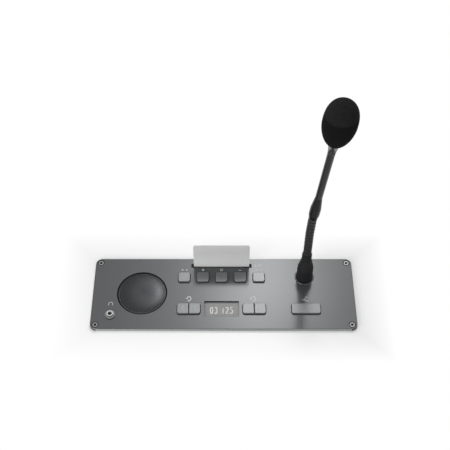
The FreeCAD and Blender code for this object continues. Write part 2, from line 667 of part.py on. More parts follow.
# Card slot: a black liner with a funnel, pushed up into the panel's slot
slotPlace = ("rowMiddleX", "slotY")
cardPlace = ("rowMiddleX", "cardY")
linerFace = centredBlock("LinerFace", slotPlace, ("slotLong - 0.2", "slotWide - 0.2", "2.2"), "seatRecess")
linerFaceEdges = [(number, 0.7, 0.7) for number in (1, 3, 5, 7)]
linerRound = doc.addObject("Part::Fillet", "LinerRound")
linerRound.Base = linerFace
linerRound.Edges = linerFaceEdges
linerFlangeDims = ("slotLong + 2.6", "5.4", "seatRecess + 0.9")
linerFlange = centredBlock("LinerFlange", ("rowMiddleX", "slotY - 0.4"), linerFlangeDims, "-0.9")
linerSlot = centredBlock("LinerSlot", cardPlace, ("cardLong + cardPlayLong", "mouthWide", "6"), "-2")
funnel = doc.addObject("Part::Wedge", "LinerFunnel")
funnelLong = "(slotLong - 1.6)"
throatLong = "(cardLong + cardPlayLong)"
bind(funnel, Xmin="0", Xmax=funnelLong, Zmin="0", Zmax="funnelWide", Ymin="0", Ymax="1.6")
bind(funnel, X2min=f"({funnelLong} - {throatLong}) / 2", X2max=f"({funnelLong} + {throatLong}) / 2",
     Z2min="(funnelWide - mouthWide) / 2", Z2max="(funnelWide + mouthWide) / 2")
funnel.Placement.Rotation = FreeCAD.Rotation(FreeCAD.Vector(1, 0, 0), -90)
place(funnel, (f"rowMiddleX - {funnelLong} / 2", "cardY - funnelWide / 2", "seatRecess + 2.21"))
keep(cut("SlotLiner", fuse("LinerBlank", [linerRound, linerFlange]), [linerSlot, funnel]), "slot_bezel")

# Card reader: a tall sleeve with a shallow guide for the card, a contact window and two fixing ears
cardBottom = "(panelThick + cardShow - cardTall)"
readerPlace = ("rowMiddleX", readerY)
readerDims = ("readerLong", "readerThick", "readerTop - readerBottom")
readerShell = centredBlock("ReaderShell", readerPlace, readerDims, "readerBottom")
readerEarDims = ("readerLong + 2 * readerEar", "readerThick", "readerEarThick")
readerEars = centredBlock("ReaderEars", readerPlace, readerEarDims, "readerTop - readerEarThick")
channelDims = ("cardLong + cardPlayLong", "cardThick + cardPlayThick", "90")
cardChannel = centredBlock("CardChannel", cardPlace, channelDims, f"{cardBottom} - 0.4")
carrierLeft = "rowMiddleX - 11"
contactWindow = block("ContactWindow", (carrierLeft, "cardY - 0.5 - readerThick", "carrierFoot"),
                      ("carrierLong", "readerThick", "carrierTall"))
readerEarHoles = [rod(f"ReaderEarHole{i}", (*spot, "readerTop - 4"), "smallHole", "6")
                  for i, spot in enumerate(readerFixings)]
readerTools = [cardChannel, contactWindow, *readerEarHoles]
keep(cut("Reader", fuse("ReaderBlank", [readerShell, readerEars]), readerTools), "card_reader")
contactStrips = []
for row in range(2):
    for column in range(int(size("contactCount"))):
        left = f"{carrierLeft} + 1.5 + contactPitch * {column}"
        corner = (left, "cardY - 1.15", f"carrierFoot + 1 + 6 * {row}")
        contactStrips.append(block(f"ContactStrip{row}{column}", corner, ("1.6", "0.4", "5")))
contactCarrier = block("ContactCarrier", (carrierLeft, "cardY - 2.75", "carrierFoot"),
                       ("carrierLong", "1.6", "carrierTall"))
keep(group("CardContacts", [*contactStrips, contactCarrier]), "card_contacts")

# The delegate's identity card, standing in the reader
card = newBody("id_card")
cardOutline = newSketch(card, "CardOutline", role="XZ_Plane")
rectangle(cardOutline, ("0", "cardTall / 2"), ("cardLong", "cardTall"))
pad(card, cardOutline, "CardSheet", "cardThick")
cardEdges = []
for number, edge in enumerate(card.Shape.Edges, start=1):
    if edge.BoundBox.XLength < 1e-6 and edge.BoundBox.ZLength < 1e-6:
        cardEdges.append(f"Edge{number}")
soften(card, "Fillet", "CardCorners", cardEdges, "cardCorner")
place(card, ("rowMiddleX", "cardY + cardThick / 2", cardBottom))

# Headphone socket: threaded barrel, nut on the panel and moulded body below
jackTop = "(panelThick + jackProud)"
jackBottom = f"({jackTop} - jackDeep)"
barrel = pipe("JackBarrel", ("jackX", "jackY", "-1"), "jackBarrel", "jackBore", f"{jackTop} + 1")
keep(barrel, "jack_barrel")
nutWall = rod("JackNutWall", ("jackX", "jackY", "panelThick"), "jackNut", "jackNutTall")
slopePlace = ("jackX", "jackY", "panelThick + jackNutTall")
nutSlope = taper("JackNutSlope", slopePlace, "jackNut", "jackBarrel + 0.5", "jackNutSlope")
nutHole = rod("JackNutHole", ("jackX", "jackY", "panelThick - 1"), "jackBarrel + 0.05", "4")
keep(cut("JackNut", fuse("JackNutBlank", [nutWall, nutSlope]), [nutHole]), "jack_nut")
jackBlockDims = ("jackBlockLong", "jackBlockWide", "jackBlockTall")
jackBlock = centredBlock("JackBlock", ("jackX", "jackY"), jackBlockDims, "seatRecess - 0.1 - jackBlockTall")
jackHole = rod("JackHole", ("jackX", "jackY", jackBottom), "jackBore", "20")
jackRelief = rod("JackRelief", ("jackX", "jackY", "-1"), "jackBarrel", "5")
keep(cut("JackBody", jackBlock, [jackHole, jackRelief]), "jack_body")

# Microphone socket, its bright ring and its contacts
micPlace = ("micX", "micY")


def micRod(name, z, radius, height):
    return rod(name, (*micPlace, z), radius, height)


socketWall = micRod("SocketWall", "-socketDepth", "socketHole - 0.1", "socketDepth + panelThick")
socketFlange = pipe("SocketNutFlange", (*micPlace, "seatRecess - 3.2"), "11.5", "socketHole - 0.2", "3.2")
socketWell = micRod("SocketWell", "-socketDepth + 2", "socketBore", "40")
keep(cut("MicSocket", fuse("MicSocketBlank", [socketWall, socketFlange]), [socketWell]), "mic_socket")
ringRound = bind(doc.addObject("Part::Torus", "RingRound"), Radius1="(ringOuter + ringInner) / 2",
                 Radius2="(ringOuter - ringInner) / 2")
place(ringRound, (*micPlace, "panelThick + ringProud - (ringOuter - ringInner) / 2"))
ringBlank = pipe("RingBlank", (*micPlace, "panelThick"), "ringOuter", "ringInner", "ringProud")
keep(common("MicRing", [ringRound, ringBlank]), "mic_socket_ring")
pinCount = int(size("pinCount"))
pinAngles = [360 / pinCount * i + 18 for i in range(pinCount)]
pinSpots = [(f"micX + pinCircle * cos({angle})", f"micY + pinCircle * sin({angle})") for angle in pinAngles]
pins = [rod(f"SocketPin{i}", (*spot, "-socketDepth + 2"), "pinRadius", "pinLong")
        for i, spot in enumerate(pinSpots)]
keep(group("SocketPins", pins), "socket_pins")

# Microphone foot: plug shell, insert with contact holes and the tapered sleeve
sleeveFoot = "(panelThick + 0.1)"
plugShell = pipe("PlugShell", (*micPlace, "plugEnd"), "plugRadius", "plugBore", f"{sleeveFoot} - plugEnd")
plugSpigot = pipe("PlugSpigot", (*micPlace, sleeveFoot), "spigotRadius", "spigotBore", "spigotLong")
plugWeb = pipe("PlugWeb", (*micPlace, f"{sleeveFoot} - 1.5"), "spigotRadius", "spigotBore", "1.6")
keep(fuse("MicPlug", [plugShell, plugWeb, plugSpigot]), "mic_plug")
insert = micRod("PlugInsertBlank", "plugEnd + 0.6", "plugBore", "14")
insertHoles = [rod(f"InsertHole{i}", (*spot, "plugEnd - 1"), "pinRadius + 0.2", "pinLong")
               for i, spot in enumerate(pinSpots)]
keep(cut("PlugInsert", insert, insertHoles), "plug_insert")
sleeveParts = [
    micRod("SleeveWall", sleeveFoot, "sleeveRadius", f"sleeveShoulder - {sleeveFoot}"),
    taper("SleeveTaper", (*micPlace, "sleeveShoulder"), "sleeveRadius", "collarRadius + 0.1",
          "sleeveTaperEnd - sleeveShoulder"),
    micRod("SleeveCollar", "sleeveTaperEnd", "collarRadius", "neckStart - sleeveTaperEnd"),
]
sleeveHollow = [micRod("SleeveSpigotBore", "0", "spigotRadius", f"{sleeveFoot} + spigotLong"),
                micRod("SleeveWireBore", "0", "neckBore + 0.6", "neckStart + 1")]
keep(cut("MicSleeve", fuse("SleeveBlank", sleeveParts), sleeveHollow), "mic_sleeve")


# Flexible neck: links that hinge on balls, by turns about X and about Y, each one carrying a few ribs.
# A link is lofted along X and then stood up; its own origin is the pivot at its lower end.

linkPitch = size("neckLong") / 6
ribPitch = linkPitch / 4


def circleWire(x, radius):
    return Part.Wire(Part.Circle(FreeCAD.Vector(x, 0, 0), FreeCAD.Vector(1, 0, 0), radius).toShape())


def ribbedTube(start, end):
    ribs = max(1, round((end - start) / ribPitch))
    pitchHere = (end - start) / ribs
    groove, crest = size("neckGroove"), size("neckRadius")
    wires = []
    for i in range(ribs):
        x = start + i * pitchHere
        for share, radius in ((0.06, groove), (0.28, crest), (0.72, crest), (0.94, groove)):
            wires.append(circleWire(x + share * pitchHere, radius))
    wires.insert(0, circleWire(start, groove))
    wires.append(circleWire(end, groove))
    return Part.makeLoft(wires, True, True)


def neckLink(label, start, end, socketBelow, ballAbove):
    along = FreeCAD.Vector(1, 0, 0)
    shape = ribbedTube(start, end)
    ballRadius = size("ballRadius")
    if ballAbove:
        pivot = FreeCAD.Vector(end + size("linkGap"), 0, 0)
        stemFoot = FreeCAD.Vector(end - 0.5, 0, 0)
        stem = Part.makeCylinder(ballRadius * 0.7, size("linkGap") + 0.5, stemFoot, along)
        shape = shape.fuse(stem).fuse(Part.makeSphere(ballRadius, pivot))
    if socketBelow:
        shape = shape.cut(Part.makeSphere(ballRadius + size("ballPlay")))
    bore = Part.makeCylinder(size("neckBore"), 40, FreeCAD.Vector(-20, 0, 0), along)
    shape = shape.cut(bore)
    shape.rotate(FreeCAD.Vector(), FreeCAD.Vector(0, 1, 0), -90)
    link = doc.addObject("Part::Feature", label + "Solid")
    link.Shape = shape.removeSplitter()
    return keep(link, label)


def leaning(position, lean):
    return FreeCAD.Placement(position, FreeCAD.Rotation(FreeCAD.Vector(0, 1, 0), lean))


gap = size("linkGap")
leans = [0, 0, 0, size("midLean"), size("midLean"), size("headLean")]
pivots = [FreeCAD.Vector(size("micX"), size("micY"), size("neckStart") + linkPitch / 2)]
for lean in leans[:-1]:
    step = FreeCAD.Vector(math.sin(math.radians(lean)), 0, math.cos(math.radians(lean))) * linkPitch
    pivots.append(pivots[-1] + step)
neckBase = neckLink("neck_base", -linkPitch / 2, -gap, False, True)
neckBase.Placement = leaning(pivots[0], 0)
for i in range(5):
    link = neckLink(f"neck_link_{i + 1}", gap, linkPitch - gap, True, True)
    link.Placement = leaning(pivots[i], leans[i])
neckTop = neckLink("neck_top", gap, linkPitch / 2, True, False)
head = leaning(pivots[5], leans[5])
neckTop.Placement = head
print("neck pivots", [(round(p.x, 3), round(p.y, 3), round(p.z, 3)) for p in pivots])


# Microphone head: coupling, rigid tube, light ring, capsule housing, capsule and windscreen,
# all built upright from the last pivot and then leant with the neck

def headRod(name, start, radius, length):
    return rod(name, ("0", "0", start), radius, length)


def headTaper(name, start, lower, upper, length):
    return taper(name, ("0", "0", start), lower, upper, length)


couplingFoot = "(neckLong / 12)"
tubeFoot = f"({couplingFoot} + couplingLong)"
couplingParts = [
    headTaper("CouplingFoot", couplingFoot, "neckRadius + 0.1", "couplingWide", "couplingLip"),
    headRod("CouplingBand", f"{couplingFoot} + couplingLip", "couplingWide", "couplingBand"),
    headTaper("CouplingTaper", f"{couplingFoot} + couplingLip + couplingBand", "couplingWide", "tubeRadius",
              "couplingLong - couplingLip - couplingBand"),
]
couplingBore = headRod("CouplingBore", "0", "neckBore + 0.2", "60")
coupling = keep(cut("Coupling", fuse("CouplingBlank", couplingParts), [couplingBore]), "neck_coupling")
ledFoot = f"({tubeFoot} + tubeLong)"
coreParts = [
    headTaper("TubeBody", tubeFoot, "tubeRadius", "tubeRadius + tubeSpread", "tubeLong"),
    headTaper("TubeNose", ledFoot, "tubeRadius + tubeSpread", "coreRadius", "ledNose"),
    headRod("TubeSpigot", f"{ledFoot} + ledNose", "coreRadius", "ledLong - ledNose"),
]
tubeBore = headRod("TubeBore", "0", "0.6", "140")
tube = keep(cut("MicTube", fuse("TubeBlank", coreParts), [tubeBore]), "mic_tube")
ledOuter = [
    headTaper("LedFoot", ledFoot, "tubeRadius + tubeSpread + 0.1", "ledWaist", "ledNose + 1.5"),
    headTaper("LedBell", f"{ledFoot} + ledNose + 1.5", "ledWaist", "ledFlare", "ledLong - ledNose - 1.5"),
]
ledCore = [
    headTaper("LedCoreNose", ledFoot, "tubeRadius + tubeSpread", "coreRadius", "ledNose"),
    headRod("LedCoreSpigot", f"{ledFoot} - 1", "coreRadius", "ledLong + 2"),
]
ledRing = keep(cut("LightRing", fuse("LedBlank", ledOuter), ledCore), "led_collar")
capsuleFoot = f"({ledFoot} + ledLong)"
canFoot = f"({capsuleFoot} + capsuleLong - capsuleCan - 1)"
housingShell = headRod("CapsuleShell", capsuleFoot, "capsuleRadius", "capsuleLong")
housingVoid = [headRod("CapsuleVoid", f"{capsuleFoot} + 2", "capsuleRadius - capsuleWall", "capsuleLong"),
               headRod("CapsuleWires", f"{capsuleFoot} - 1", "coreRadius", "5")]
capsuleHousing = keep(cut("CapsuleHousing", housingShell, housingVoid), "capsule_housing")
capsuleBlank = headRod("CapsuleCan", canFoot, "capsuleRadius - capsuleWall", "capsuleCan")
capsulePort = headRod("CapsulePort", f"{canFoot} + capsuleCan - 0.8", "1.5", "3")
capsule = keep(cut("Capsule", capsuleBlank, [capsulePort]), "mic_capsule")
foamHalves = []
for name, reach, lowest, highest in (("FoamTop", "foamUpper", 0, 90), ("FoamFoot", "foamLower", -90, 0)):
    half = doc.addObject("Part::Ellipsoid", name)
    half.Angle1, half.Angle2 = lowest, highest
    bind(half, Radius1=reach, Radius2="foamRadius", Radius3="foamRadius")
    place(half, ("0", "0", "foamFromPivot"))
    foamHalves.append(half)
foam = fuse("FoamBall", foamHalves)
foamBottom = "(foamFromPivot - foamLower)"
foamToCapsule = f"({capsuleFoot} - {foamBottom})"
foamTools = [headRod("FoamBore", f"{foamBottom} - 2", "capsuleRadius", f"2 + {foamToCapsule} + capsuleLong + 1"),
             headRod("FoamMouth", f"{foamBottom} - 2", "foamRadius", f"2 + {foamToCapsule} + foamLift")]
windscreen = keep(cut("Windscreen", foam, foamTools), "windscreen")
doc.recompute()
for piece in (coupling, tube, ledRing, capsuleHousing, capsule, windscreen):
    piece.Placement = head


# Main board under the key guide, standing off the panel

board = newBody("main_board")
boardOutline = newSketch(board, "BoardOutline", "boardTop")
boardMiddle = ("(boardLeft + boardRight) / 2", "0")
rectangle(boardOutline, boardMiddle, ("boardRight - boardLeft", "2 * boardHalf"))
pad(board, boardOutline, "BoardPlate", "boardThick", downward=True)
boardCuts = newSketch(board, "BoardCuts", "boardTop")
rectangle(boardCuts, ("micX", "boardHalf - 6"), ("25", "26"))
for spot in standoffs:
    circle(boardCuts, spot, "smallHole")
pocket(board, boardCuts, "BoardHoles")
boardPosts = [pipe(f"Standoff{i}", (x, y, "boardTop"), "2.5", "tapRadius", "seatRecess - boardTop")
              for i, (x, y) in enumerate(standoffs)]
keep(group("Standoffs", boardPosts), "board_standoffs")

# Key guide: a plate with a square hole for each stem, on four short posts under the panel
keyStems = [(x, "voteKeyY") for _, x in voteKeys]
keyStems += [(x, "rowLowY") for _, x in pairKeys]
keyStems.append(("micKeyX", "rowLowY"))
guide = newBody("key_guide")
guideOutline = newSketch(guide, "GuideOutline", "guideTop")
rectangle(guideOutline, boardMiddle, ("boardRight - boardLeft - 1", "2 * boardHalf - 2"))
pad(guide, guideOutline, "GuidePlate", "guideThick", downward=True)
guidePosts = newSketch(guide, "GuidePosts", "guideTop")
for x in ("-44", "0", "50", "100"):
    circle(guidePosts, (x, "2"), "2")
pad(guide, guidePosts, "Posts", "seatRecess - guideTop")
guideCuts = newSketch(guide, "GuideCuts", "guideTop")
for middle in keyStems:
    rectangle(guideCuts, middle, ("keyStem + 0.4", "keyStem + 0.4"))
rectangle(guideCuts, windowPlace, ("windowLong + 5.6", "windowWide + 4"))
for spot in standoffs:
    circle(guideCuts, spot, "2.9")
circle(guideCuts, micPlace, "12.2")
pocket(guide, guideCuts, "GuideHoles")

# Switches on the board: one hollow block under each stem
switches = []
for i, (x, y) in enumerate(keyStems):
    caseDims = ("switchSide", "switchSide", "keyStemEnd - 0.1 - boardTop")
    case = centredBlock(f"SwitchCase{i}", (x, y), caseDims, "boardTop")
    well = rod(f"SwitchWell{i}", (x, y, "keyStemEnd - keyTravel - 1.1"), "switchWell", "6")
    switches.append(cut(f"Switch{i}", case, [well]))
keep(group("Switches", switches), "key_switches")


# Keys: a soft-edged cap, a lip that keeps it under the panel and a stem that reaches the switch

def keyBody(label, x, y, long, wide, twin=0):
    # A key of a pair says on which side its twin stands, and has square corners there
    key = newBody(label)
    capBottom = "(seatRecess - keyDepth)"
    capSketch = newSketch(key, label + "Cap", capBottom)
    rectangle(capSketch, ("0", "0"), (long, wide))
    pad(key, capSketch, label + "CapBlock", f"keyTop - {capBottom}")
    roundSpots = [spot for spot in corners(("0", "0"), (long, wide)) if spot[0] * twin <= 0]
    capCorners = verticalEdges(key.Shape, roundSpots)
    soften(key, "Fillet", label + "Corners", capCorners, "keyCorner")
    soften(key, "Fillet", label + "SoftEdge", levelEdges(key.Shape, size("keyTop")), "keySoftEdge")
    lipSketch = newSketch(key, label + "Lip", capBottom)
    lipDims = (f"{long} - 2 * keyCorner - 0.2", f"{wide} + 2 * keyLip + 2 * keyGap")
    rectangle(lipSketch, ("0", "0"), lipDims)
    pad(key, lipSketch, label + "LipBar", "lipThick")
    stemSketch = newSketch(key, label + "Stem", capBottom)
    rectangle(stemSketch, ("0", "0"), ("keyStem", "keyStem"))
    pad(key, stemSketch, label + "StemBar", f"{capBottom} - keyStemEnd", downward=True)
    place(key, (x, y, "0"))


for label, x in voteKeys:
    keyBody(label, x, "voteKeyY", "voteKeyLong", "voteKeyWide")
for label, x in pairKeys:
    keyBody(label, x, "rowLowY", "pairKeyLong", "pairKeyWide", 1 if "_down_" in label else -1)
keyBody("mic_key", "micKeyX", "rowLowY", "micKeyLong", "micKeyWide")

# Network board near the floor with two sockets that open downwards
netSockets = [f"netSocketX + netSocketPitch * ({side})" for side in (-0.5, 0.5)]
netPosts = [("50", "20"), ("50", "-20"), ("100", "20"), ("100", "-20")]
netBoardDims = ("60", "50", "boardThick")
netBoardPlate = centredBlock("NetBoardPlate", ("netSocketX", "0"), netBoardDims, "netBoardTop - boardThick")
netBoardHoles = [rod(f"NetBoardHole{i}", (x, y, "netBoardTop - 5"), "smallHole", "9")
                 for i, (x, y) in enumerate(netPosts)]
keep(cut("NetBoard", netBoardPlate, netBoardHoles), "network_board")
netMouth = "housingFloor + 0.4"
sockets = []
netCaseDims = ("netSocketLong", "netSocketWide", f"netBoardTop - boardThick - ({netMouth})")
netPlugDims = ("netPlugLong", "netPlugWide", "netPlugDeep + 1")
for i, x in enumerate(netSockets):
    case = centredBlock(f"NetCase{i}", (x, "0"), netCaseDims, netMouth)
    plugSpace = centredBlock(f"NetPlugSpace{i}", (x, "-0.8"), netPlugDims, f"{netMouth} - 1")
    latchSpace = centredBlock(f"NetLatchSpace{i}", (x, "3.4"), ("6.4", "2.4", "9"), f"{netMouth} - 1")
    sockets.append(cut(f"NetSocket{i}", case, [plugSpace, latchSpace]))
keep(group("NetSockets", sockets), "network_sockets")

# Larger components: chips under the main board, a header between the boards
# and transformers on the network board
boardUnder = "boardTop - boardThick"
hangingChips = {
    "Processor": (("-10", "-4"), ("18", "18", "1.4")),
    "Memory": (("16", "-6"), ("14", "9", "1.2")),
    "AudioChip": (("-36", "0"), ("9", "9", "1.2")),
    "AmplifierChip": (("86", "-12"), ("10", "8", "1.6")),
    "HeaderUpper": (("66", "-20"), ("24", "5", "8.5")),
}
standingParts = {
    "HeaderLower": (("66", "-20"), ("24", "5", "8.5")),
    "TransformerLeft": (("netSocketX - netSocketPitch / 2", "10"), ("14", "12", "8")),
    "TransformerRight": (("netSocketX + netSocketPitch / 2", "10"), ("14", "12", "8")),
}
components = []
for name, (middle, dims) in hangingChips.items():
    components.append(centredBlock(name, middle, dims, f"{boardUnder} - {dims[2]}"))
for name, (middle, dims) in standingParts.items():
    components.append(centredBlock(name, middle, dims, "netBoardTop"))
for i in range(3):
    components.append(rod(f"Capacitor{i}", (f"{30 + 9 * i}", "12", f"{boardUnder} - 11"), "3.5", "11"))
keep(group("Components", components), "board_components")

# Housing: an open tray that hangs from four pillars, with posts for the network board and vents
housing = newBody("rear_housing")
trayOutline = newSketch(housing, "TrayOutline", "seatRecess")
rectangle(trayOutline, ("0", "0"), ("housingLong", "housingWide"))
pad(housing, trayOutline, "TrayBlock", "seatRecess - housingFloor", downward=True)
trayCorners = corners(("0", "0"), ("housingLong", "housingWide"))
soften(housing, "Fillet", "TrayCorners", verticalEdges(housing.Shape, trayCorners), "housingCorner")
soften(housing, "Fillet", "TrayBottomEdge", levelEdges(housing.Shape, size("housingFloor")), "1.5")
traySpace = ("housingLong - 2 * housingWall", "housingWide - 2 * housingWall")
trayWell = newSketch(housing, "TrayWell", "seatRecess")
rectangle(trayWell, ("0", "0"), traySpace)
pocket(housing, trayWell, "TrayHollow", "seatRecess - housingFloor - housingWall")
wellEdges = verticalEdges(housing.Shape, corners(("0", "0"), traySpace))
soften(housing, "Fillet", "TrayWellCorners", wellEdges, "housingCorner - housingWall")
pillars = [(f"{sx} * pillarX", f"{sy} * pillarY") for sx in (-1, 1) for sy in (-1, 1)]
trayFloor = "housingFloor + housingWall"
screwPosts = newSketch(housing, "ScrewPosts", trayFloor)
for spot in pillars:
    circle(screwPosts, spot, "postRadius")
pad(housing, screwPosts, "ScrewPostRise", f"pillarEnd - 0.2 - ({trayFloor})")
boardPostSketch = newSketch(housing, "BoardPosts", trayFloor)
for spot in netPosts:
    circle(boardPostSketch, spot, "3")
pad(housing, boardPostSketch, "BoardPostRise", f"netBoardTop - boardThick - ({trayFloor})")
screwBores = newSketch(housing, "ScrewBores", "housingFloor")
for spot in pillars:
    circle(screwBores, spot, "postHeadBore")
pocket(housing, screwBores, "ScrewHeadBores", "postHeadDepth", upward=True)
screwHoles = newSketch(housing, "ScrewHoles", "housingFloor")
for spot in pillars:
    circle(screwHoles, spot, "screwHole")
pocket(housing, screwHoles, "ScrewClearance", "pillarEnd - housingFloor", upward=True)
boardThreads = newSketch(housing, "BoardThreads", "netBoardTop")
for spot in netPosts:
    circle(boardThreads, spot, "tapRadius")
pocket(housing, boardThreads, "BoardScrewThreads", "8")
floorCuts = newSketch(housing, "FloorCuts", trayFloor)
for x in netSockets:
    rectangle(floorCuts, (x, "0"), ("netSocketLong + 0.6", "netSocketWide + 0.6"))
for i in range(9):
    rectangle(floorCuts, (f"speakerX + 6 * ({i - 4})", "0"), ("2.4", "34"))
pocket(housing, floorCuts, "FloorOpenings", "housingWall + 1")
sideVents = newSketch(housing, "SideVents", role="YZ_Plane")
for i in range(6):
    rectangle(sideVents, (f"5 * ({i - 2.5})", "-22"), ("2.2", "14"))
pocket(housing, sideVents, "SideVentSlots", midplane=True)

# Pillars on the panel and the long screws that draw the housing up to them
pillarTubes = [pipe(f"Pillar{i}", (*spot, "pillarEnd"), "pillarRadius", "screwShank + 0.05",
                    "seatRecess - pillarEnd")
               for i, spot in enumerate(pillars)]
keep(group("Pillars", pillarTubes), "housing_pillars")


def screwFromBelow(name, spot, seat, head, shank, reach):
    headRadius, headTall = head
    headFoot = f"{seat} - {headTall}"
    blank = fuse(name + "Blank", [rod(name + "Head", (*spot, headFoot), headRadius, headTall),
                                  rod(name + "Shank", (*spot, seat), shank, reach)])
    slotLong, slotWide, slotDeep = f"{headRadius} * 1.3", "0.6", "0.8"
    slot = centredBlock(name + "Slot", spot, (slotLong, slotWide, slotDeep), f"{headFoot} - 0.01")
    crossSlot = centredBlock(name + "CrossSlot", spot, (slotWide, slotLong, slotDeep), f"{headFoot} - 0.01")
    return cut(name, blank, [slot, crossSlot])


headSeat = "housingFloor + postHeadDepth"
housingScrews = [screwFromBelow(f"HousingScrew{i}", spot, headSeat, ("2.7", "2.4"), "screwShank", "12")
                 for i, spot in enumerate(pillars)]
keep(group("HousingScrews", housingScrews), "housing_screws")
smallScrewPlaces = [(spot, flangeFoot, "4") for spot in speakerFixings]
smallScrewPlaces += [(spot, "readerTop - readerEarThick", "5") for spot in readerFixings]
smallScrewPlaces += [(spot, boardUnder, "6") for spot in standoffs]
smallScrews = []
for i, (spot, seat, reach) in enumerate(smallScrewPlaces):
    headDims = ("smallHead", "smallHeadTall")
    smallScrews.append(screwFromBelow(f"SmallScrew{i}", spot, seat, headDims, "smallShank", reach))
keep(group("SmallScrews", smallScrews), "small_screws")

doc.recompute()

# Every object has to be sound before anything is written
for thing in doc.Objects:
    if any(word in thing.State for word in ("Invalid", "Error")):
        raise RuntimeError(f"{thing.Name} failed: {thing.State}")
for node in nodes:
    shape = node.Shape
    if shape.isNull() or not shape.isValid() or not shape.Solids:
        raise RuntimeError(f"{node.Label} has no valid solid")
for node in nodes:
    node.Shape.exportStep(f"parts/{node.Label}.step")
    print(f"{node.Label:20s} {len(node.Shape.Solids):3d} solids {node.Shape.Volume / 1000:8.3f} cm3")
print(len(nodes), "nodes")
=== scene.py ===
import json
import math

import bmesh
import bpy
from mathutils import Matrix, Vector, noise


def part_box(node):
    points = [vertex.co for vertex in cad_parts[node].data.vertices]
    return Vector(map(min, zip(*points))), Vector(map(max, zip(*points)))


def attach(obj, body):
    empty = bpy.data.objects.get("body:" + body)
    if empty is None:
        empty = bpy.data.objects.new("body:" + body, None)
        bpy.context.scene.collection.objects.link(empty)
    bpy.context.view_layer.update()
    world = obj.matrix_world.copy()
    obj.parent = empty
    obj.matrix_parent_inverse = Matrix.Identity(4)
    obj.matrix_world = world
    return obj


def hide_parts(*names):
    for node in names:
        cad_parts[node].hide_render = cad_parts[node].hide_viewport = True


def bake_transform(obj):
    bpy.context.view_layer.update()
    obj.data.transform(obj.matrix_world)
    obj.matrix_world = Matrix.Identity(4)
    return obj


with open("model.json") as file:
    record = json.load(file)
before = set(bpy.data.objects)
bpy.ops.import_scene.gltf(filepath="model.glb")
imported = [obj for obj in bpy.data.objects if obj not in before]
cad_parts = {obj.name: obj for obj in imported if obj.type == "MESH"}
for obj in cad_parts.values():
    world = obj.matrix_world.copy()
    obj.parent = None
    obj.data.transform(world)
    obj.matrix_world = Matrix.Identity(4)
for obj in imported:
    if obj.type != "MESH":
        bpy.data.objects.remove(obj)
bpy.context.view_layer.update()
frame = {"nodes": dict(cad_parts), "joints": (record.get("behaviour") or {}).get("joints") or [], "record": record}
nodes = frame["nodes"]
mm = 0.001
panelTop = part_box("front_panel")[1].z
print("frame loaded:", len(nodes), "nodes")


# Shader maths: a wire is an output socket that sums can be written on

def plug(tree, socket, value):
    if isinstance(value, Wire):
        tree.links.new(value.socket, socket)
    elif isinstance(value, (int, float)) and hasattr(socket.default_value, "__len__"):
        socket.default_value = [value] * len(socket.default_value)
    elif hasattr(value, "__len__") and len(value) == 3 and len(socket.default_value) == 4:
        socket.default_value = (*value, 1)
    else:
        socket.default_value = value


def addNode(tree, kind, settings=None, sockets=None, out=0):
    # Any node by its type: the settings come first, then the values or links of its sockets
    made = tree.nodes.new("ShaderNode" + kind)
    for key, value in (settings or {}).items():
        setattr(made, key, value)
    for key, value in (sockets or {}).items():
        plug(tree, made.inputs[key], value)
    return Wire(tree, made.outputs[out])


class Wire:
    def __init__(self, tree, socket):
        self.tree = tree
        self.socket = socket

    def maths(self, operation, *values):
        return addNode(self.tree, "Math", {"operation": operation}, dict(enumerate(values)))

    def __add__(self, other):
        return self.maths("ADD", self, other)

    def __radd__(self, other):
        return self.maths("ADD", other, self)

    def __sub__(self, other):
        return self.maths("SUBTRACT", self, other)

    def __rsub__(self, other):
        return self.maths("SUBTRACT", other, self)

    def __mul__(self, other):
        return self.maths("MULTIPLY", self, other)

    def __rmul__(self, other):
        return self.maths("MULTIPLY", other, self)

    def __truediv__(self, other):
        return self.maths("DIVIDE", self, other)

    def __rtruediv__(self, other):
        return self.maths("DIVIDE", other, self)

    def __pow__(self, other):
        return self.maths("POWER", self, other)

    def __rpow__(self, other):
        return self.maths("POWER", other, self)

    def __gt__(self, other):
        return self.maths("GREATER_THAN", self, other)

    def __lt__(self, other):
        return self.maths("LESS_THAN", self, other)

    def __abs__(self):
        return self.maths("ABSOLUTE", self)

    def sine(self):
        return self.maths("SINE", self)

    def clamped(self):
        return self.maths("MINIMUM", self.maths("MAXIMUM", self, 0), 1)


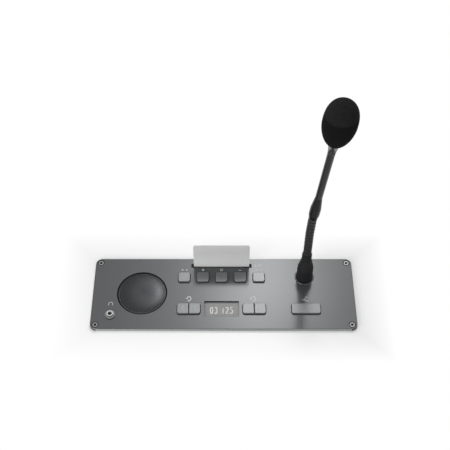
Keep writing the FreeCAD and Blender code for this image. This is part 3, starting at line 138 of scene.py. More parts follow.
class Finish:
    # A material under construction: its own node tree round one Principled shader
    def __init__(self, name, **constants):
        self.material = bpy.data.materials.new(name)
        self.material.use_nodes = True
        self.tree = self.material.node_tree
        self.shader = self.tree.nodes["Principled BSDF"]
        for socket, value in constants.items():
            plug(self.tree, self.shader.inputs[socket.replace("_", " ")], value)

    def node(self, kind, settings=None, sockets=None, out=0):
        return addNode(self.tree, kind, settings, sockets, out)

    def place(self, scale=1000.0, stretch=(1, 1, 1)):
        # Object coordinates, in millimetres unless another scale is given
        here = self.node("TexCoord", out=3)
        scaled = self.node("VectorMath", {"operation": "SCALE"}, {0: here, "Scale": scale})
        if stretch == (1, 1, 1):
            return scaled
        return self.node("VectorMath", {"operation": "MULTIPLY"}, {0: scaled, 1: stretch})

    def split(self, vector):
        return [self.node("SeparateXYZ", sockets={0: vector}, out=i) for i in range(3)]

    def noise(self, size, detail=2.0, stretch=(1, 1, 1)):
        # Noise whose features are about this many millimetres across
        spot = self.place(1000 / size, stretch)
        return self.node("TexNoise", sockets={"Vector": spot, "Scale": 1, "Detail": detail})

    def mix(self, mask, low, high):
        # A Mix node takes its colours at inputs 6 and 7 and gives the blend at output 2
        return self.node("Mix", {"data_type": "RGBA"}, {0: mask, 6: low, 7: high}, out=2)

    def bump(self, height, strength, distance):
        return self.node("Bump", sockets={"Height": height, "Strength": strength, "Distance": distance * mm})

    def set(self, **wires):
        for socket, value in wires.items():
            plug(self.tree, self.shader.inputs[socket.replace("_", " ")], value)
        return self.material


def shade(colour, factor):
    return tuple(min(1, c * factor) for c in colour)


# Finishes

panelLook = {"colour": (0.052, 0.0546, 0.0566), "edge": (0.44, 0.445, 0.45), "grain": 0.32, "roughness": 0.18,
             "edgeRoughness": 0.42, "bump": 0.06, "gloss": 1.54, "rim": 0.7, "rimShade": 0.6, "recess": 0.5,
             "recessShade": 0.5, "recessRoughness": 0.6, "glossTint": (0.965, 0.99, 1.0),
             "halfWide": 125, "halfDeep": 40, "edgeDepth": 0.03}


def panelCoat():
    # Dark grey satin coat with a fine grain, with painted shade along its rear and side rims and in the openings,
    # which are also dull. The milled outer edge is bare metal
    look = panelLook
    finish = Finish("panelCoat", IOR=look["gloss"], Specular_Tint=look["glossTint"])
    grain = finish.noise(look["grain"], 3)
    cloud = finish.noise(24, 2)
    tone = grain * 0.5 + cloud * 0.25 + 0.12
    satin = finish.mix(tone.clamped(), shade(look["colour"], 0.85), shade(look["colour"], 1.15))
    x, y, z = finish.split(finish.place())
    wide, deep, skin = look["halfWide"], look["halfDeep"], look["edgeDepth"]
    # Painted shade: the top face is darker along its rear and side rims
    rim = ((y > deep - look["rim"]) + (abs(x) > wide - look["rim"])).clamped()
    satin = finish.mix(rim, satin, shade(look["colour"], look["rimShade"]))
    outer = ((abs(y) > deep - skin) + (abs(x) > wide - skin)).clamped()
    # Painted shade: the coat is darker in the openings and pockets below the top face
    recess = (z < panelTop / mm - look["recess"]) * (1 - outer)
    satin = finish.mix(recess, satin, shade(look["colour"], look["recessShade"]))
    rough = look["roughness"] + (grain - 0.5) * 0.1 + outer * (look["edgeRoughness"] - look["roughness"])
    rough = rough + recess * (look["recessRoughness"] - look["roughness"])
    return finish.set(Base_Color=finish.mix(outer, satin, look["edge"]), Metallic=outer, Roughness=rough,
                      Normal=finish.bump(grain, look["bump"], 0.05))


keyLook = {"dark": (0.13, 0.135, 0.137), "light": (0.154, 0.159, 0.161), "metal": 0.5, "roughness": 0.31,
           "grain": 0.25, "cloud": 6}


def silverKey():
    # Silver satin lacquer over plastic
    look = keyLook
    finish = Finish("silverKey", Metallic=look["metal"], IOR=1.5)
    grain = finish.noise(look["grain"], 2)
    cloud = finish.noise(look["cloud"], 2)
    colour = finish.mix((grain * 0.5 + cloud * 0.5).clamped(), look["dark"], look["light"])
    return finish.set(Base_Color=colour, Roughness=look["roughness"] + (grain - 0.5) * 0.1,
                      Normal=finish.bump(grain, 0.1, 0.04))


def darkCoat(name, level, roughness):
    # Dark satin coat of small metal pieces on the panel
    finish = Finish(name, IOR=1.55)
    cloud = finish.noise(1.5, 3)
    colour = finish.mix(cloud, (level * 0.85,) * 3, (level * 1.15,) * 3)
    return finish.set(Base_Color=colour, Roughness=roughness + (cloud - 0.5) * 0.15,
                      Normal=finish.bump(cloud, 0.1, 0.03))


def glossyBlack(name, level, roughness, ior=1.42, sheen=0.0):
    # Black lacquer: what shows is mostly the pale room mirrored in it
    finish = Finish(name, IOR=ior, Sheen_Weight=sheen, Sheen_Roughness=0.25)
    haze = finish.noise(3, 3)
    colour = finish.mix(haze, (level * 0.8,) * 3, (level * 1.25,) * 3)
    return finish.set(Base_Color=colour, Roughness=roughness + (haze - 0.5) * 0.08)


def mouldedBlack(name, level, roughness, grainSize=0.35, strength=0.35):
    # Fine-textured moulded plastic
    finish = Finish(name, IOR=1.48, Specular_IOR_Level=0.3)
    grain = finish.noise(grainSize, 3)
    wear = finish.noise(9, 3)
    low = (level * 0.8, level * 0.8, level * 0.82)
    high = (level * 1.25, level * 1.25, level * 1.28)
    colour = finish.mix((grain * 0.4 + wear * 0.6).clamped(), low, high)
    return finish.set(Base_Color=colour, Roughness=roughness + (wear - 0.5) * 0.16,
                      Normal=finish.bump(grain, strength, 0.08))


def turnedMetal(name, colour, roughness, lines=0.12):
    # Bare or plated metal with faint turning lines and smudges
    finish = Finish(name, Metallic=1.0)
    turning = finish.noise(1.4, 3, (0.15, 0.15, 1 / lines))
    smudge = finish.noise(4, 3)
    tone = finish.mix((turning * 0.5 + smudge * 0.5).clamped(), shade(colour, 0.88), shade(colour, 1.08))
    return finish.set(Base_Color=tone, Roughness=(roughness + (smudge - 0.5) * 0.2).clamped(),
                      Normal=finish.bump(turning, 0.08, 0.03))


foamLook = {"cell": 0.55, "dark": 0.0045, "light": 0.0238, "capAbove": 11.5, "capFade": 3.5, "paintedShadeBelowCap": 0.24}


def foamCells():
    # Open-cell foam: cells of half a millimetre with dark pits, with painted light on the cap above the soft
    # crease and painted shade below it
    look = foamLook
    finish = Finish("foamCells", Roughness=0.95, Specular_IOR_Level=0.05)
    spot = finish.place(1000 / look["cell"])
    cells = finish.node("TexVoronoi", {"feature": "F1"}, {"Vector": spot, "Scale": 1})
    patch = finish.noise(2.2, 3)
    x, y, z = finish.split(finish.place())
    low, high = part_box("windscreen")
    crease = (low.z + high.z) / 2 / mm + look["capAbove"]
    # Painted light: the cap above the crease is lighter and the foam below it darker, as if lit from above
    cap = ((z - crease) / look["capFade"] + 1).clamped()
    tone = (cells * 0.7 + patch * 0.5).clamped() * (cap * (1 - look["paintedShadeBelowCap"]) + look["paintedShadeBelowCap"])
    dark, light = look["dark"], look["light"]
    colour = finish.mix(tone, (dark,) * 3, (light, light, light * 1.03))
    return finish.set(Base_Color=colour, Normal=finish.bump(1 - cells, 0.9, 0.25))


grilleLook = {"dark": (0.055, 0.057, 0.059), "light": (0.066, 0.068, 0.071), "roughness": 0.25,
              "rimShadeColour": (0.006, 0.006, 0.006), "rimFrom": 22.7}


def grilleCoat():
    # Dark satin coat, with painted shade along the rim where the face turns down
    look = grilleLook
    finish = Finish("grilleCoat", Metallic=1.0)
    cloud = finish.noise(3, 3)
    coat = finish.mix(cloud, look["dark"], look["light"])
    low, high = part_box("speaker_grille")
    x, y, z = finish.split(finish.place())
    aside, ahead = x - (low.x + high.x) / 2 / mm, y - (low.y + high.y) / 2 / mm
    # Painted shade: the face is near black beyond this radius, for the dark gap round the grille
    rim = (aside ** 2 + ahead ** 2) ** 0.5 > look["rimFrom"]
    return finish.set(Base_Color=finish.mix(rim, coat, look["rimShadeColour"]),
                      Roughness=look["roughness"] + (cloud - 0.5) * 0.1)


coneLook = {"dark": (0.02, 0.02, 0.02), "light": (0.07, 0.07, 0.068), "roughness": 0.8, "fibre": 0.6}


def paperCone():
    look = coneLook
    finish = Finish("paperCone", Roughness=look["roughness"])
    fibre = finish.noise(look["fibre"], 4, (1, 1, 0.3))
    colour = finish.mix(fibre, look["dark"], look["light"])
    return finish.set(Base_Color=colour, Normal=finish.bump(fibre, 0.4, 0.1))


boardLook = {"mask": (0.012, 0.1, 0.035), "track": (0.03, 0.2, 0.08), "roughness": 0.35}


def greenBoard():
    # Solder mask with copper tracks showing as lighter lines
    look = boardLook
    finish = Finish("greenBoard", Roughness=look["roughness"], IOR=1.5)
    x, y, z = finish.split(finish.place())
    along = (x * 1.9 + finish.noise(14, 1) * 9).sine() > 0.72
    tracks = along + ((y * 1.7 + finish.noise(11, 1) * 8).sine() > 0.8)
    colour = finish.mix(tracks.clamped(), look["mask"], look["track"])
    return finish.set(Base_Color=colour, Normal=finish.bump(tracks, 0.2, 0.03))


cardLook = {"dark": (0.64, 0.64, 0.64), "light": (0.87, 0.87, 0.872), "roughness": 0.38, "paintedLightBelow": 22}


def cardLaminate():
    # White satin laminate, a little uneven, with painted light making it lighter towards its slot
    look = cardLook
    finish = Finish("cardLaminate", Roughness=look["roughness"], IOR=1.46)
    cloud = finish.noise(12, 3)
    grain = finish.noise(0.3, 2)
    x, y, z = finish.split(finish.place())
    # Painted light: the laminate is lighter towards the panel, against the shade near the slot
    lower = (1 - (z - panelTop / mm) / look["paintedLightBelow"]).clamped()
    tone = (cloud * 0.2 + grain * 0.1 + lower * 0.85 - 0.05).clamped()
    colour = finish.mix(tone, look["dark"], look["light"])
    return finish.set(Base_Color=colour, Normal=finish.bump(grain, 0.06, 0.03))


ringLook = {"dark": (0.036, 0.037, 0.038), "light": (0.046, 0.047, 0.048), "footAlpha": 0.76,
            "clearing": 0.34}


def frostedRing():
    # Thin smoky plastic with the dark core showing through, clearer towards its wide end
    look = ringLook
    low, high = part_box("led_collar")
    finish = Finish("frostedRing", IOR=1.4)
    x, y, z = finish.split(finish.place())
    up = ((z - low.z / mm) / ((high.z - low.z) / mm)).clamped()
    cloud = finish.noise(3, 2)
    colour = finish.mix(cloud, look["dark"], look["light"])
    return finish.set(Base_Color=colour, Alpha=look["footAlpha"] - up * look["clearing"],
                      Roughness=0.3 + cloud * 0.1)


jackLook = {"dark": (0.36, 0.36, 0.355), "light": (0.46, 0.46, 0.455), "middle": (0.2, 0.2, 0.2),
            "inner": 2.2}


def jackFace():
    # Bright barrel round a grey middle, which is painted shade on the inner edge of the face and in the bore
    look = jackLook
    low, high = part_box("jack_barrel")
    middleX, middleY = (low.x + high.x) / 2 / mm, (low.y + high.y) / 2 / mm
    finish = Finish("jackFace")
    x, y, z = finish.split(finish.place())
    # Painted shade: inside this radius the face and bore are dark grey and not metallic
    inside = ((x - middleX) ** 2 + (y - middleY) ** 2) ** 0.5 < look["inner"]
    smudge = finish.noise(1.2, 3)
    metal = finish.mix(smudge, look["dark"], look["light"])
    return finish.set(Base_Color=finish.mix(inside, metal, look["middle"]), Metallic=1 - inside,
                      Roughness=0.22 + smudge * 0.1)


screwLook = {"dark": (0.17, 0.17, 0.172), "light": (0.24, 0.24, 0.242), "socket": (0.02, 0.02, 0.02),
             "headRadius": 2.45, "socketShadeRadius": 1.35}


def screwSteel():
    # Dark steel heads, with painted shade making them black in and round their hexagon sockets; the four
    # screws stand at the same distances to the left and right, front and back
    look = screwLook
    finish = Finish("screwSteel", Metallic=1.0)
    smudge = finish.noise(1.2, 3)
    x, y, z = finish.split(finish.place())
    low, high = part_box("panel_screws")
    aside, ahead = abs(x) + look["headRadius"] - high.x / mm, abs(y) + look["headRadius"] - high.y / mm
    # Painted shade: near black inside the socket radius of each head
    socket = (aside ** 2 + ahead ** 2) ** 0.5 < look["socketShadeRadius"]
    steel = finish.mix(smudge, look["dark"], look["light"])
    return finish.set(Base_Color=finish.mix(socket, steel, look["socket"]),
                      Roughness=0.28 + smudge * 0.15)


windowLook = {"dark": (0.149, 0.148, 0.147), "light": (0.173, 0.172, 0.171), "roughness": 0.28}


def displayWindow():
    # Grey window, faintly cloudy
    look = windowLook
    finish = Finish("displayWindow", IOR=1.49)
    cloud = finish.noise(7, 2)
    colour = finish.mix(cloud, look["dark"], look["light"])
    return finish.set(Base_Color=colour, Roughness=look["roughness"] + cloud * 0.1)


glassLook = {"dark": (0.12, 0.14, 0.13), "light": (0.16, 0.18, 0.17), "roughness": 0.1}


def panelGlass():
    # Glass of the display panel behind the window
    look = glassLook
    finish = Finish("panelGlass", IOR=1.5)
    cloud = finish.noise(5, 2)
    colour = finish.mix(cloud, look["dark"], look["light"])
    return finish.set(Base_Color=colour, Roughness=look["roughness"] + cloud * 0.08)


def softRubber(level=0.022):
    finish = Finish("softRubber", IOR=1.5, Specular_IOR_Level=0.3)
    grain = finish.noise(0.3, 3)
    dust = finish.noise(5, 4)
    colour = finish.mix((dust * 1.4 - 0.2).clamped(), (level * 0.75,) * 3, (level * 1.4,) * 3)
    return finish.set(Base_Color=colour, Roughness=0.5 + dust * 0.2, Normal=finish.bump(grain, 0.25, 0.05))


magnetLook = {"dark": (0.045, 0.045, 0.05), "light": (0.11, 0.11, 0.115), "metal": 0.2, "roughness": 0.6}


def ferrite():
    look = magnetLook
    finish = Finish("ferrite", Metallic=look["metal"], Roughness=look["roughness"])
    grain = finish.noise(0.5, 4)
    colour = finish.mix(grain, look["dark"], look["light"])
    return finish.set(Base_Color=colour, Normal=finish.bump(grain, 0.5, 0.1))


inkLook = {"dark": (0.5, 0.508, 0.516), "light": (0.58, 0.589, 0.598), "roughness": 0.55}


def printInk():
    # Pale screen print on the panel
    look = inkLook
    finish = Finish("printInk", Roughness=look["roughness"])
    speck = finish.noise(0.25, 2)
    return finish.set(Base_Color=finish.mix(speck, look["dark"], look["light"]))


finishes = {
    "panel_metal": panelCoat(),
    "black_plastic": mouldedBlack("blackPlastic", 0.013, 0.5),
    "key_plastic": silverKey(),
    "grille_steel": grilleCoat(),
    "inner_steel": turnedMetal("zincSteel", (0.5, 0.5, 0.5), 0.34),
    "nickel": turnedMetal("nickelPlate", (0.78, 0.77, 0.75), 0.2),
    "dark_coat": darkCoat("darkCoat", 0.075, 0.34),
    "dark_chrome": turnedMetal("darkChrome", (0.1, 0.1, 0.102), 0.25),
    "foam": foamCells(),
    "paper": paperCone(),
    "rubber": softRubber(),
    "magnet": ferrite(),
    "lens": displayWindow(),
    "glass": panelGlass(),
    "card": cardLaminate(),
    "light_ring": frostedRing(),
    "gold": turnedMetal("goldPlate", (0.83, 0.62, 0.25), 0.25),
    "board": greenBoard(),
    "housing_plastic": mouldedBlack("housingPlastic", 0.045, 0.55, 0.6, 0.6),
    "brass": turnedMetal("turnedBrass", (0.72, 0.58, 0.32), 0.28),
    "tube_metal": glossyBlack("anodisedTube", 0.002, 0.22),
    "jack_face": jackFace(),
    "coupling": glossyBlack("couplingCoat", 0.003, 0.3, 1.3, 0.3),
    "screw_steel": screwSteel(),
    "nut_steel": turnedMetal("nutSteel", (0.2, 0.2, 0.203), 0.24),
}
# Pieces whose surface differs from the rest of their material
ownFinish = {
    "panel_screws": "screw_steel",
    "jack_nut": "nut_steel",
    "neck_coupling": "coupling",
    "jack_barrel": "jack_face",
}
ink = printInk()
for part in frame["record"]["subparts"]:
    piece = nodes[part["node"]]
    if not piece.material_slots:
        piece.data.materials.append(None)
    for slot in piece.material_slots:
        slot.link = "OBJECT"
        slot.material = finishes[ownFinish.get(part["node"], part["material_slot"])]
print("finishes:", len(finishes))


# Mesh helpers

def meshPiece(name, vertices, faces, finish, body, smooth=True):
    mesh = bpy.data.meshes.new(name)
    mesh.from_pydata([tuple(v) for v in vertices], [], faces)
    mesh.validate()
    mesh.polygons.foreach_set("use_smooth", [smooth] * len(mesh.polygons))
    mesh.materials.append(finish)
    piece = bpy.data.objects.new(name, mesh)
    bpy.context.scene.collection.objects.link(piece)
    if body:
        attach(piece, body)
    return piece


def tubeFaces(rows, sides, closed=False):
    # Faces between rows of points that each go once round
    faces = []
    for row in range(rows if closed else rows - 1):
        low, high = row * sides, (row + 1) % rows * sides
        for i in range(sides):
            j = (i + 1) % sides
            faces.append((low + i, low + j, high + j, high + i))
    return faces


def lathe(profile, sides, centre=(0, 0), closed=False):
    # Turns (radius, height) points about an upright axis
    vertices = []
    for radius, height in profile:
        for i in range(sides):
            angle = 2 * math.pi * i / sides
            x, y = centre[0] + radius * math.cos(angle), centre[1] + radius * math.sin(angle)
            vertices.append((x, y, height))
    return vertices, tubeFaces(len(profile), sides, closed)


def cleanUp(piece, merge=0.0, outward=True):
    # Joins points that fall together, and turns the faces outwards
    data = bmesh.new()
    data.from_mesh(piece.data)
    if merge:
        bmesh.ops.remove_doubles(data, verts=data.verts, dist=merge)
    if outward:
        bmesh.ops.recalc_face_normals(data, faces=data.faces)
    data.to_mesh(piece.data)
    data.free()


def sharpen(piece, degrees=35):
    # Smooth shading that stays crisp at real edges
    with bpy.context.temp_override(object=piece, active_object=piece, selected_objects=[piece]):
        bpy.ops.object.shade_smooth_by_angle(angle=math.radians(degrees))


# Loudspeaker grille: a domed face with staggered round perforations, its rim and its side wall

grille = {"pitch": 2.05, "hole": 0.7, "sheet": 0.4, "turn": 43, "openTo": 22.3, "rimRadius": 22.9,
          "rise": 1.95, "flatness": 4, "rimSides": 96, "clothSides": 64}
grilleLow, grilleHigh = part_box("speaker_grille")
grilleMiddle = ((grilleLow.x + grilleHigh.x) / 2, (grilleLow.y + grilleHigh.y) / 2)
grilleTop = grilleHigh.z


def domeHeight(radius):
    # Nearly flat in the middle, falling away towards the rim
    return grilleTop - grille["rise"] * (radius / grille["rimRadius"]) ** grille["flatness"] * mm


def grilleFace():
    # Square cells with a round hole in each; a cell over the edge is drawn in to it and left closed
    pitch, rim, hole = grille["pitch"], grille["rimRadius"], grille["hole"]
    turn = math.radians(grille["turn"])
    cellRadius = pitch / math.sqrt(2)
    mesh = bmesh.new()
    known = {}

    def vertexAt(x, y):
        length = math.hypot(x, y)
        if length > rim:
            x, y = x * rim / length, y * rim / length
        key = (round(x, 3), round(y, 3))
        if key not in known:
            spot = (grilleMiddle[0] + x * mm, grilleMiddle[1] + y * mm, domeHeight(min(rim, length)))
            known[key] = mesh.verts.new(spot)
        return known[key]

    def addFace(corners):
        distinct = []
        for corner in corners:
            if corner not in distinct:
                distinct.append(corner)
        if len(distinct) > 2 and not mesh.faces.get(distinct):
            mesh.faces.new(distinct)

    reach = int(rim / pitch) + 2
    for column in range(-reach, reach + 1):
        for row in range(-reach, reach + 1):
            x = pitch * (column * math.cos(turn) - row * math.sin(turn))
            y = pitch * (column * math.sin(turn) + row * math.cos(turn))
            distance = math.hypot(x, y)
            square = [(x + cellRadius * math.cos(turn + math.radians(45 + 90 * k)),
                       y + cellRadius * math.sin(turn + math.radians(45 + 90 * k))) for k in range(4)]
            if all(math.hypot(*corner) > rim for corner in square):
                continue
            outer = [vertexAt(*corner) for corner in square]
            if distance + hole > grille["openTo"]:
                addFace(outer)
                continue
            inner = []
            for k in range(12):
                angle = turn + math.radians(45 + 30 * k)
                inner.append(vertexAt(x + hole * math.cos(angle), y + hole * math.sin(angle)))
            for k in range(4):
                a, b = outer[k], outer[(k + 1) % 4]
                ring = [inner[(3 * k + m) % 12] for m in range(4)]
                addFace([a, ring[1], ring[0]])
                addFace([a, b, ring[2], ring[1]])
                addFace([b, ring[3], ring[2]])
    bmesh.ops.recalc_face_normals(mesh, faces=mesh.faces)
    data = bpy.data.meshes.new("grilleFace")
    mesh.to_mesh(data)
    mesh.free()
    data.materials.append(finishes["grille_steel"])
    piece = bpy.data.objects.new("speakerGrilleFace", data)
    bpy.context.scene.collection.objects.link(piece)
    sheet = piece.modifiers.new("Sheet", "SOLIDIFY")
    sheet.thickness = grille["sheet"] * mm
    sheet.offset = -1
    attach(piece, "chassis")
    return piece


def grilleRim():
    rim = grille["rimRadius"]
    edge = domeHeight(rim)
    foot = grilleLow.z
    flange = (grilleHigh.x - grilleLow.x) / 2
    wall = rim * mm
    profile = [(wall - 0.0006, edge - 0.0004), (wall - 0.0001, edge - 0.00002),
               (wall + 0.0001, edge - 0.0004), (wall + 0.0001, foot + 0.0008),
               (flange, foot + 0.0008), (flange, foot), (wall - 0.0007, foot), (wall - 0.0007, edge - 0.0009)]
    vertices, faces = lathe(profile, grille["rimSides"], grilleMiddle, closed=True)
    # Painted shade: the rim and its side wall are near black, for the dark gap round the grille
    rimShadeBlack = mouldedBlack("grilleRimShadeBlack", 0.008, 0.6)
    piece = meshPiece("speakerGrilleRim", vertices, faces, rimShadeBlack, "chassis")
    sharpen(piece)
    return piece


grillePiece = grilleFace()
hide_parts("speaker_grille")
grilleRim()
clothProfile = [(0.0001, grilleTop - 0.0026), (0.012, grilleTop - 0.003), (0.0219, grilleTop - 0.0036),
                (0.0219, grilleTop - 0.004), (0.0001, grilleTop - 0.0034)]
clothVertices, clothFaces = lathe(clothProfile, grille["clothSides"], grilleMiddle, closed=True)
meshPiece("speakerCloth", clothVertices, clothFaces, mouldedBlack("speakerClothWeave", 0.016, 0.9, 0.4, 0.8),
          "chassis")
print("grille:", len(grillePiece.data.vertices), "points")


# Gooseneck skin: a close steel winding under a black coat, one stretch for each joint

# Each lean is how many links up it comes and by how many degrees; rows are for each turn of the winding
neck = {"turnPitch": 4.58, "crest": 4.0, "groove": 3.3, "crestShare": 0.54, "roundness": 0.8, "rows": 14,
        "sides": 40, "blendLength": 3.0, "links": 6, "leans": [(3.5, 2.4), (5.5, 3.1)]}
neckJoints = sorted([j for j in frame["joints"] if j["type"] == "hinge"], key=lambda j: j["pos_m"][2])
pivots = [Vector(j["pos_m"]) for j in neckJoints]
linkLength = (pivots[1] - pivots[0]).length
headJoint = pivots[5]


def neckLean(length):
    # Lean of the neck in radians at this length along it, eased round each pivot
    lean = 0.0
    for links, degrees in neck["leans"]:
        start = links * linkLength - neck["blendLength"] * mm
        share = (length - start) / (2 * neck["blendLength"] * mm)
        share = max(0, min(1, share))
        lean += math.radians(degrees) * share * share * (3 - 2 * share)
    return lean


def neckPath(count):
    step = neck["links"] * linkLength / count
    point = pivots[0] - Vector((0, 0, linkLength / 2))
    path = [(point.copy(), 0.0)]
    for i in range(count):
        lean = neckLean((i + 0.5) * step)
        point = point + Vector((math.sin(lean), 0, math.cos(lean))) * step
        path.append((point.copy(), neckLean((i + 1) * step)))
    return path


def windingRadius(turns):
    # One turn of round wire: a crest with a narrow groove beside it
    share = turns - math.floor(turns)
    bulge = math.sqrt(max(0, 1 - (2 * share - 1) ** 2))
    return (neck["groove"] + (neck["crest"] - neck["groove"]) * bulge ** neck["roundness"]) * mm


def neckSkin():
    turnsPerLink = linkLength / (neck["turnPitch"] * mm)
    perLink = int(round(turnsPerLink * neck["rows"]))
    path = neckPath(perLink * neck["links"])
    sides = neck["sides"]
    stands = [["neck_base", "neck_link_1"], ["neck_link_2"], ["neck_link_3"], ["neck_link_4"],
              ["neck_link_5"], ["neck_top"]]
    # Painted light and shade: the crests of the winding get a lighter lacquer, the grooves a darker copy of it
    winding = glossyBlack("neckWinding", 0.028, 0.24, 1.36, 0.3)
    groovePaintedShade = glossyBlack("neckGroove", 0.011, 0.5, 1.3, 0.2)
    for link in range(neck["links"]):
        vertices = []
        for row in range(perLink + 1):
            index = link * perLink + row
            point, lean = path[index]
            turns = index / perLink * turnsPerLink
            across = Vector((math.cos(lean), 0, -math.sin(lean)))
            for i in range(sides):
                angle = 2 * math.pi * i / sides
                radius = windingRadius(turns + i / sides)
                away = Vector((0, radius * math.sin(angle), 0))
                vertices.append(point + across * radius * math.cos(angle) + away)
        piece = meshPiece(f"neckWinding{link + 1}", vertices, tubeFaces(perLink + 1, sides), winding, None)
        piece.data.materials.append(groovePaintedShade)
        for face in piece.data.polygons:
            row, side = divmod(face.index, sides)
            turns = (link * perLink + row + 0.5) / perLink * turnsPerLink + side / sides
            face.material_index = abs(turns % 1 - 0.5) > neck["crestShare"] / 2
        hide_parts(*stands[link])
        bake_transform(piece)
    return path[-1][1]


neckEndLean = neckSkin()
print("gooseneck:", neck["links"], "stretches")


# Foam windscreen: a ball of foam with a soft waist line, sunk over the capsule

# Lengths are measured from the widest place; the powers say how full each half is, a plain ball having 2
foam = {"upper": 22.4, "lower": 26.0, "radius": 14.3, "upperPower": 2.5, "lowerPower": 1.85, "mouth": 22.9,
        "bore": 5.3, "rows": 130, "sides": 220, "pore": 0.45, "depth": 0.13}
headAxis = Vector((math.sin(neckEndLean), 0, math.cos(neckEndLean)))
headAcross = Vector((math.cos(neckEndLean), 0, -math.sin(neckEndLean)))
headAway = Vector((0, 1, 0))
foamTip = (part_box("windscreen")[1].z - headJoint.z) / headAxis.z
foamPlace = headJoint + headAxis * (foamTip - foam["upper"] * mm)


def foamRadius(height):
    half = "upper" if height > 0 else "lower"
    reach, power = foam[half], foam[half + "Power"]
    return foam["radius"] * max(0, 1 - (abs(height) / reach) ** power) ** (1 / power)


def windscreenPiece():
    profile = []
    for i in range(foam["rows"] + 1):
        share = math.cos(math.acos(-foam["mouth"] / foam["lower"]) * (1 - i / foam["rows"]))
        height = share * (foam["upper"] if share > 0 else foam["lower"])
        profile.append((foamRadius(height), height))
    inside = [(foam["bore"], depth - foam["mouth"]) for depth in (5, 2, 0.2)]
    profile = inside + profile
    vertices, sides = [], foam["sides"]
    for row, (radius, height) in enumerate(profile):
        for i in range(sides):
            angle = 2 * math.pi * i / sides
            out = headAcross * math.cos(angle) + headAway * math.sin(angle)
            spot = headAxis * height + out * radius
            if row >= len(inside) and radius > 0.05:
                pore = noise.noise(spot / foam["pore"]) + 0.5 * noise.noise(spot / foam["pore"] * 2.3)
                spot = spot * (1 + min(0, pore) * foam["depth"] / foam["radius"])
            vertices.append(foamPlace + spot * mm)
    faces = tubeFaces(len(profile), sides)
    piece = meshPiece("foamWindscreen", vertices, faces, finishes["foam"], "mic_head")
    cleanUp(piece, merge=0.00001, outward=False)
    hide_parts("windscreen")
    return piece


windscreen = windscreenPiece()
print("windscreen:", len(windscreen.data.vertices), "points")


# Light ring: one see-through bell round the tube's nose, with the dark core showing inside it

bell = {"foot": 88.6, "long": 13.03, "start": 3.3, "widen": 0.75, "flare": 1.55, "power": 2.6, "rows": 24,
        "sides": 64}


def lightRing():
    profile = [(0.0, 0.0)]
    for i in range(bell["rows"] + 1):
        share = i / bell["rows"]
        radius = bell["start"] + bell["widen"] * share + bell["flare"] * share ** bell["power"]
        profile.append((radius, share * bell["long"]))
    profile.append((0.0, bell["long"]))
    turned, faces = lathe(profile, bell["sides"])
    vertices = [headJoint + (headAcross * x + headAway * y + headAxis * (bell["foot"] + height)) * mm
                for x, y, height in turned]
    piece = meshPiece("lightRingBell", vertices, faces, finishes["light_ring"], "mic_head")
    cleanUp(piece, merge=0.000001)
    sharpen(piece)
    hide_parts("led_collar")


lightRing()
print("light ring:", bell["long"], "mm long")


# Marks printed on the panel: thin raised strokes

markLook = {"proud": 0.03, "sink": 0.01, "width": 0.42, "step": 0.003, "voteRow": 26.7, "iconRow": 31.9,
            "keyRow": -6.5}


def ribbon(points, width, top, bottom, closed=False):
    # A stroke of constant width along level points in millimetres, with round ends
    half = width / 2
    count = len(points)
    sides = []
    for i, (x, y) in enumerate(points):
        before = points[i - 1] if i or closed else points[i]
        after = points[(i + 1) % count] if i < count - 1 or closed else points[i]
        dx, dy = after[0] - before[0], after[1] - before[1]
        length = math.hypot(dx, dy) or 1
        sides.append((-dy / length * half, dx / length * half))
    vertices, faces = [], []
    for (x, y), (nx, ny) in zip(points, sides):
        for sx, sz in ((1, top), (-1, top), (-1, bottom), (1, bottom)):
            vertices.append(((x + nx * sx) * mm, (y + ny * sx) * mm, sz))
    rows = count if closed else count - 1
    for i in range(rows):
        a, b = 4 * i, 4 * ((i + 1) % count)
        for k in range(4):
            m = (k + 1) % 4
            faces.append((a + k, b + k, b + m, a + m))
    if not closed:
        faces.append((0, 1, 2, 3))
        last = 4 * (count - 1)
        faces.append((last + 3, last + 2, last + 1, last))
    return vertices, faces


def arc(centre, radius, start, end, count=16, tall=1.0):
    return [(centre[0] + radius * math.cos(math.radians(start + (end - start) * i / count)),
             centre[1] + radius * tall * math.sin(math.radians(start + (end - start) * i / count)))
            for i in range(count + 1)]


def disc(centre, radius, top, bottom, sides=20):
    ring = [(centre[0] + radius * math.cos(2 * math.pi * i / sides),
             centre[1] + radius * math.sin(2 * math.pi * i / sides)) for i in range(sides)]
    vertices = [(x * mm, y * mm, top) for x, y in ring] + [(x * mm, y * mm, bottom) for x, y in ring]
    faces = [tuple(range(sides)), tuple(range(2 * sides - 1, sides - 1, -1))]
    faces += [(i, sides + i, sides + (i + 1) % sides, (i + 1) % sides) for i in range(sides)]
    return vertices, faces


def marks(name, body, finish, surface, strokes, dots=(), width=None):
    # Every stroke is a hair taller than the one before, so that crossing strokes share no face
    top, bottom = surface + markLook["proud"] * mm, surface - markLook["sink"] * mm
    vertices, faces = [], []
    for shape in strokes:
        top += markLook["step"] * mm
        bottom -= markLook["step"] * mm
        points, closed = shape if isinstance(shape, tuple) else (shape, False)
        more = ribbon(points, width or markLook["width"], top, bottom, closed)
        faces += [tuple(len(vertices) + i for i in face) for face in more[1]]
        vertices += more[0]
    for centre, radius in dots:
        more = disc(centre, radius, top, bottom)
        faces += [tuple(len(vertices) + i for i in face) for face in more[1]]
        vertices += more[0]
    piece = meshPiece(name, vertices, faces, finish, body, smooth=False)
    cleanUp(piece)
    return piece


def panelMark(name, strokes, dots=(), width=None):
    return marks(name, "chassis", ink, panelTop, strokes, dots, width)


def middle(node):
    low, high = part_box(node)
    return (low.x + high.x) / 2 / mm, (low.y + high.y) / 2 / mm


def headphoneMark(x, y, size):
    band = arc((x, y), size * 0.42, -10, 190)
    return [band, [(x - size * 0.41, y - size * 0.02), (x - size * 0.41, y - size * 0.34)],
            [(x + size * 0.41, y - size * 0.02), (x + size * 0.41, y - size * 0.34)]]


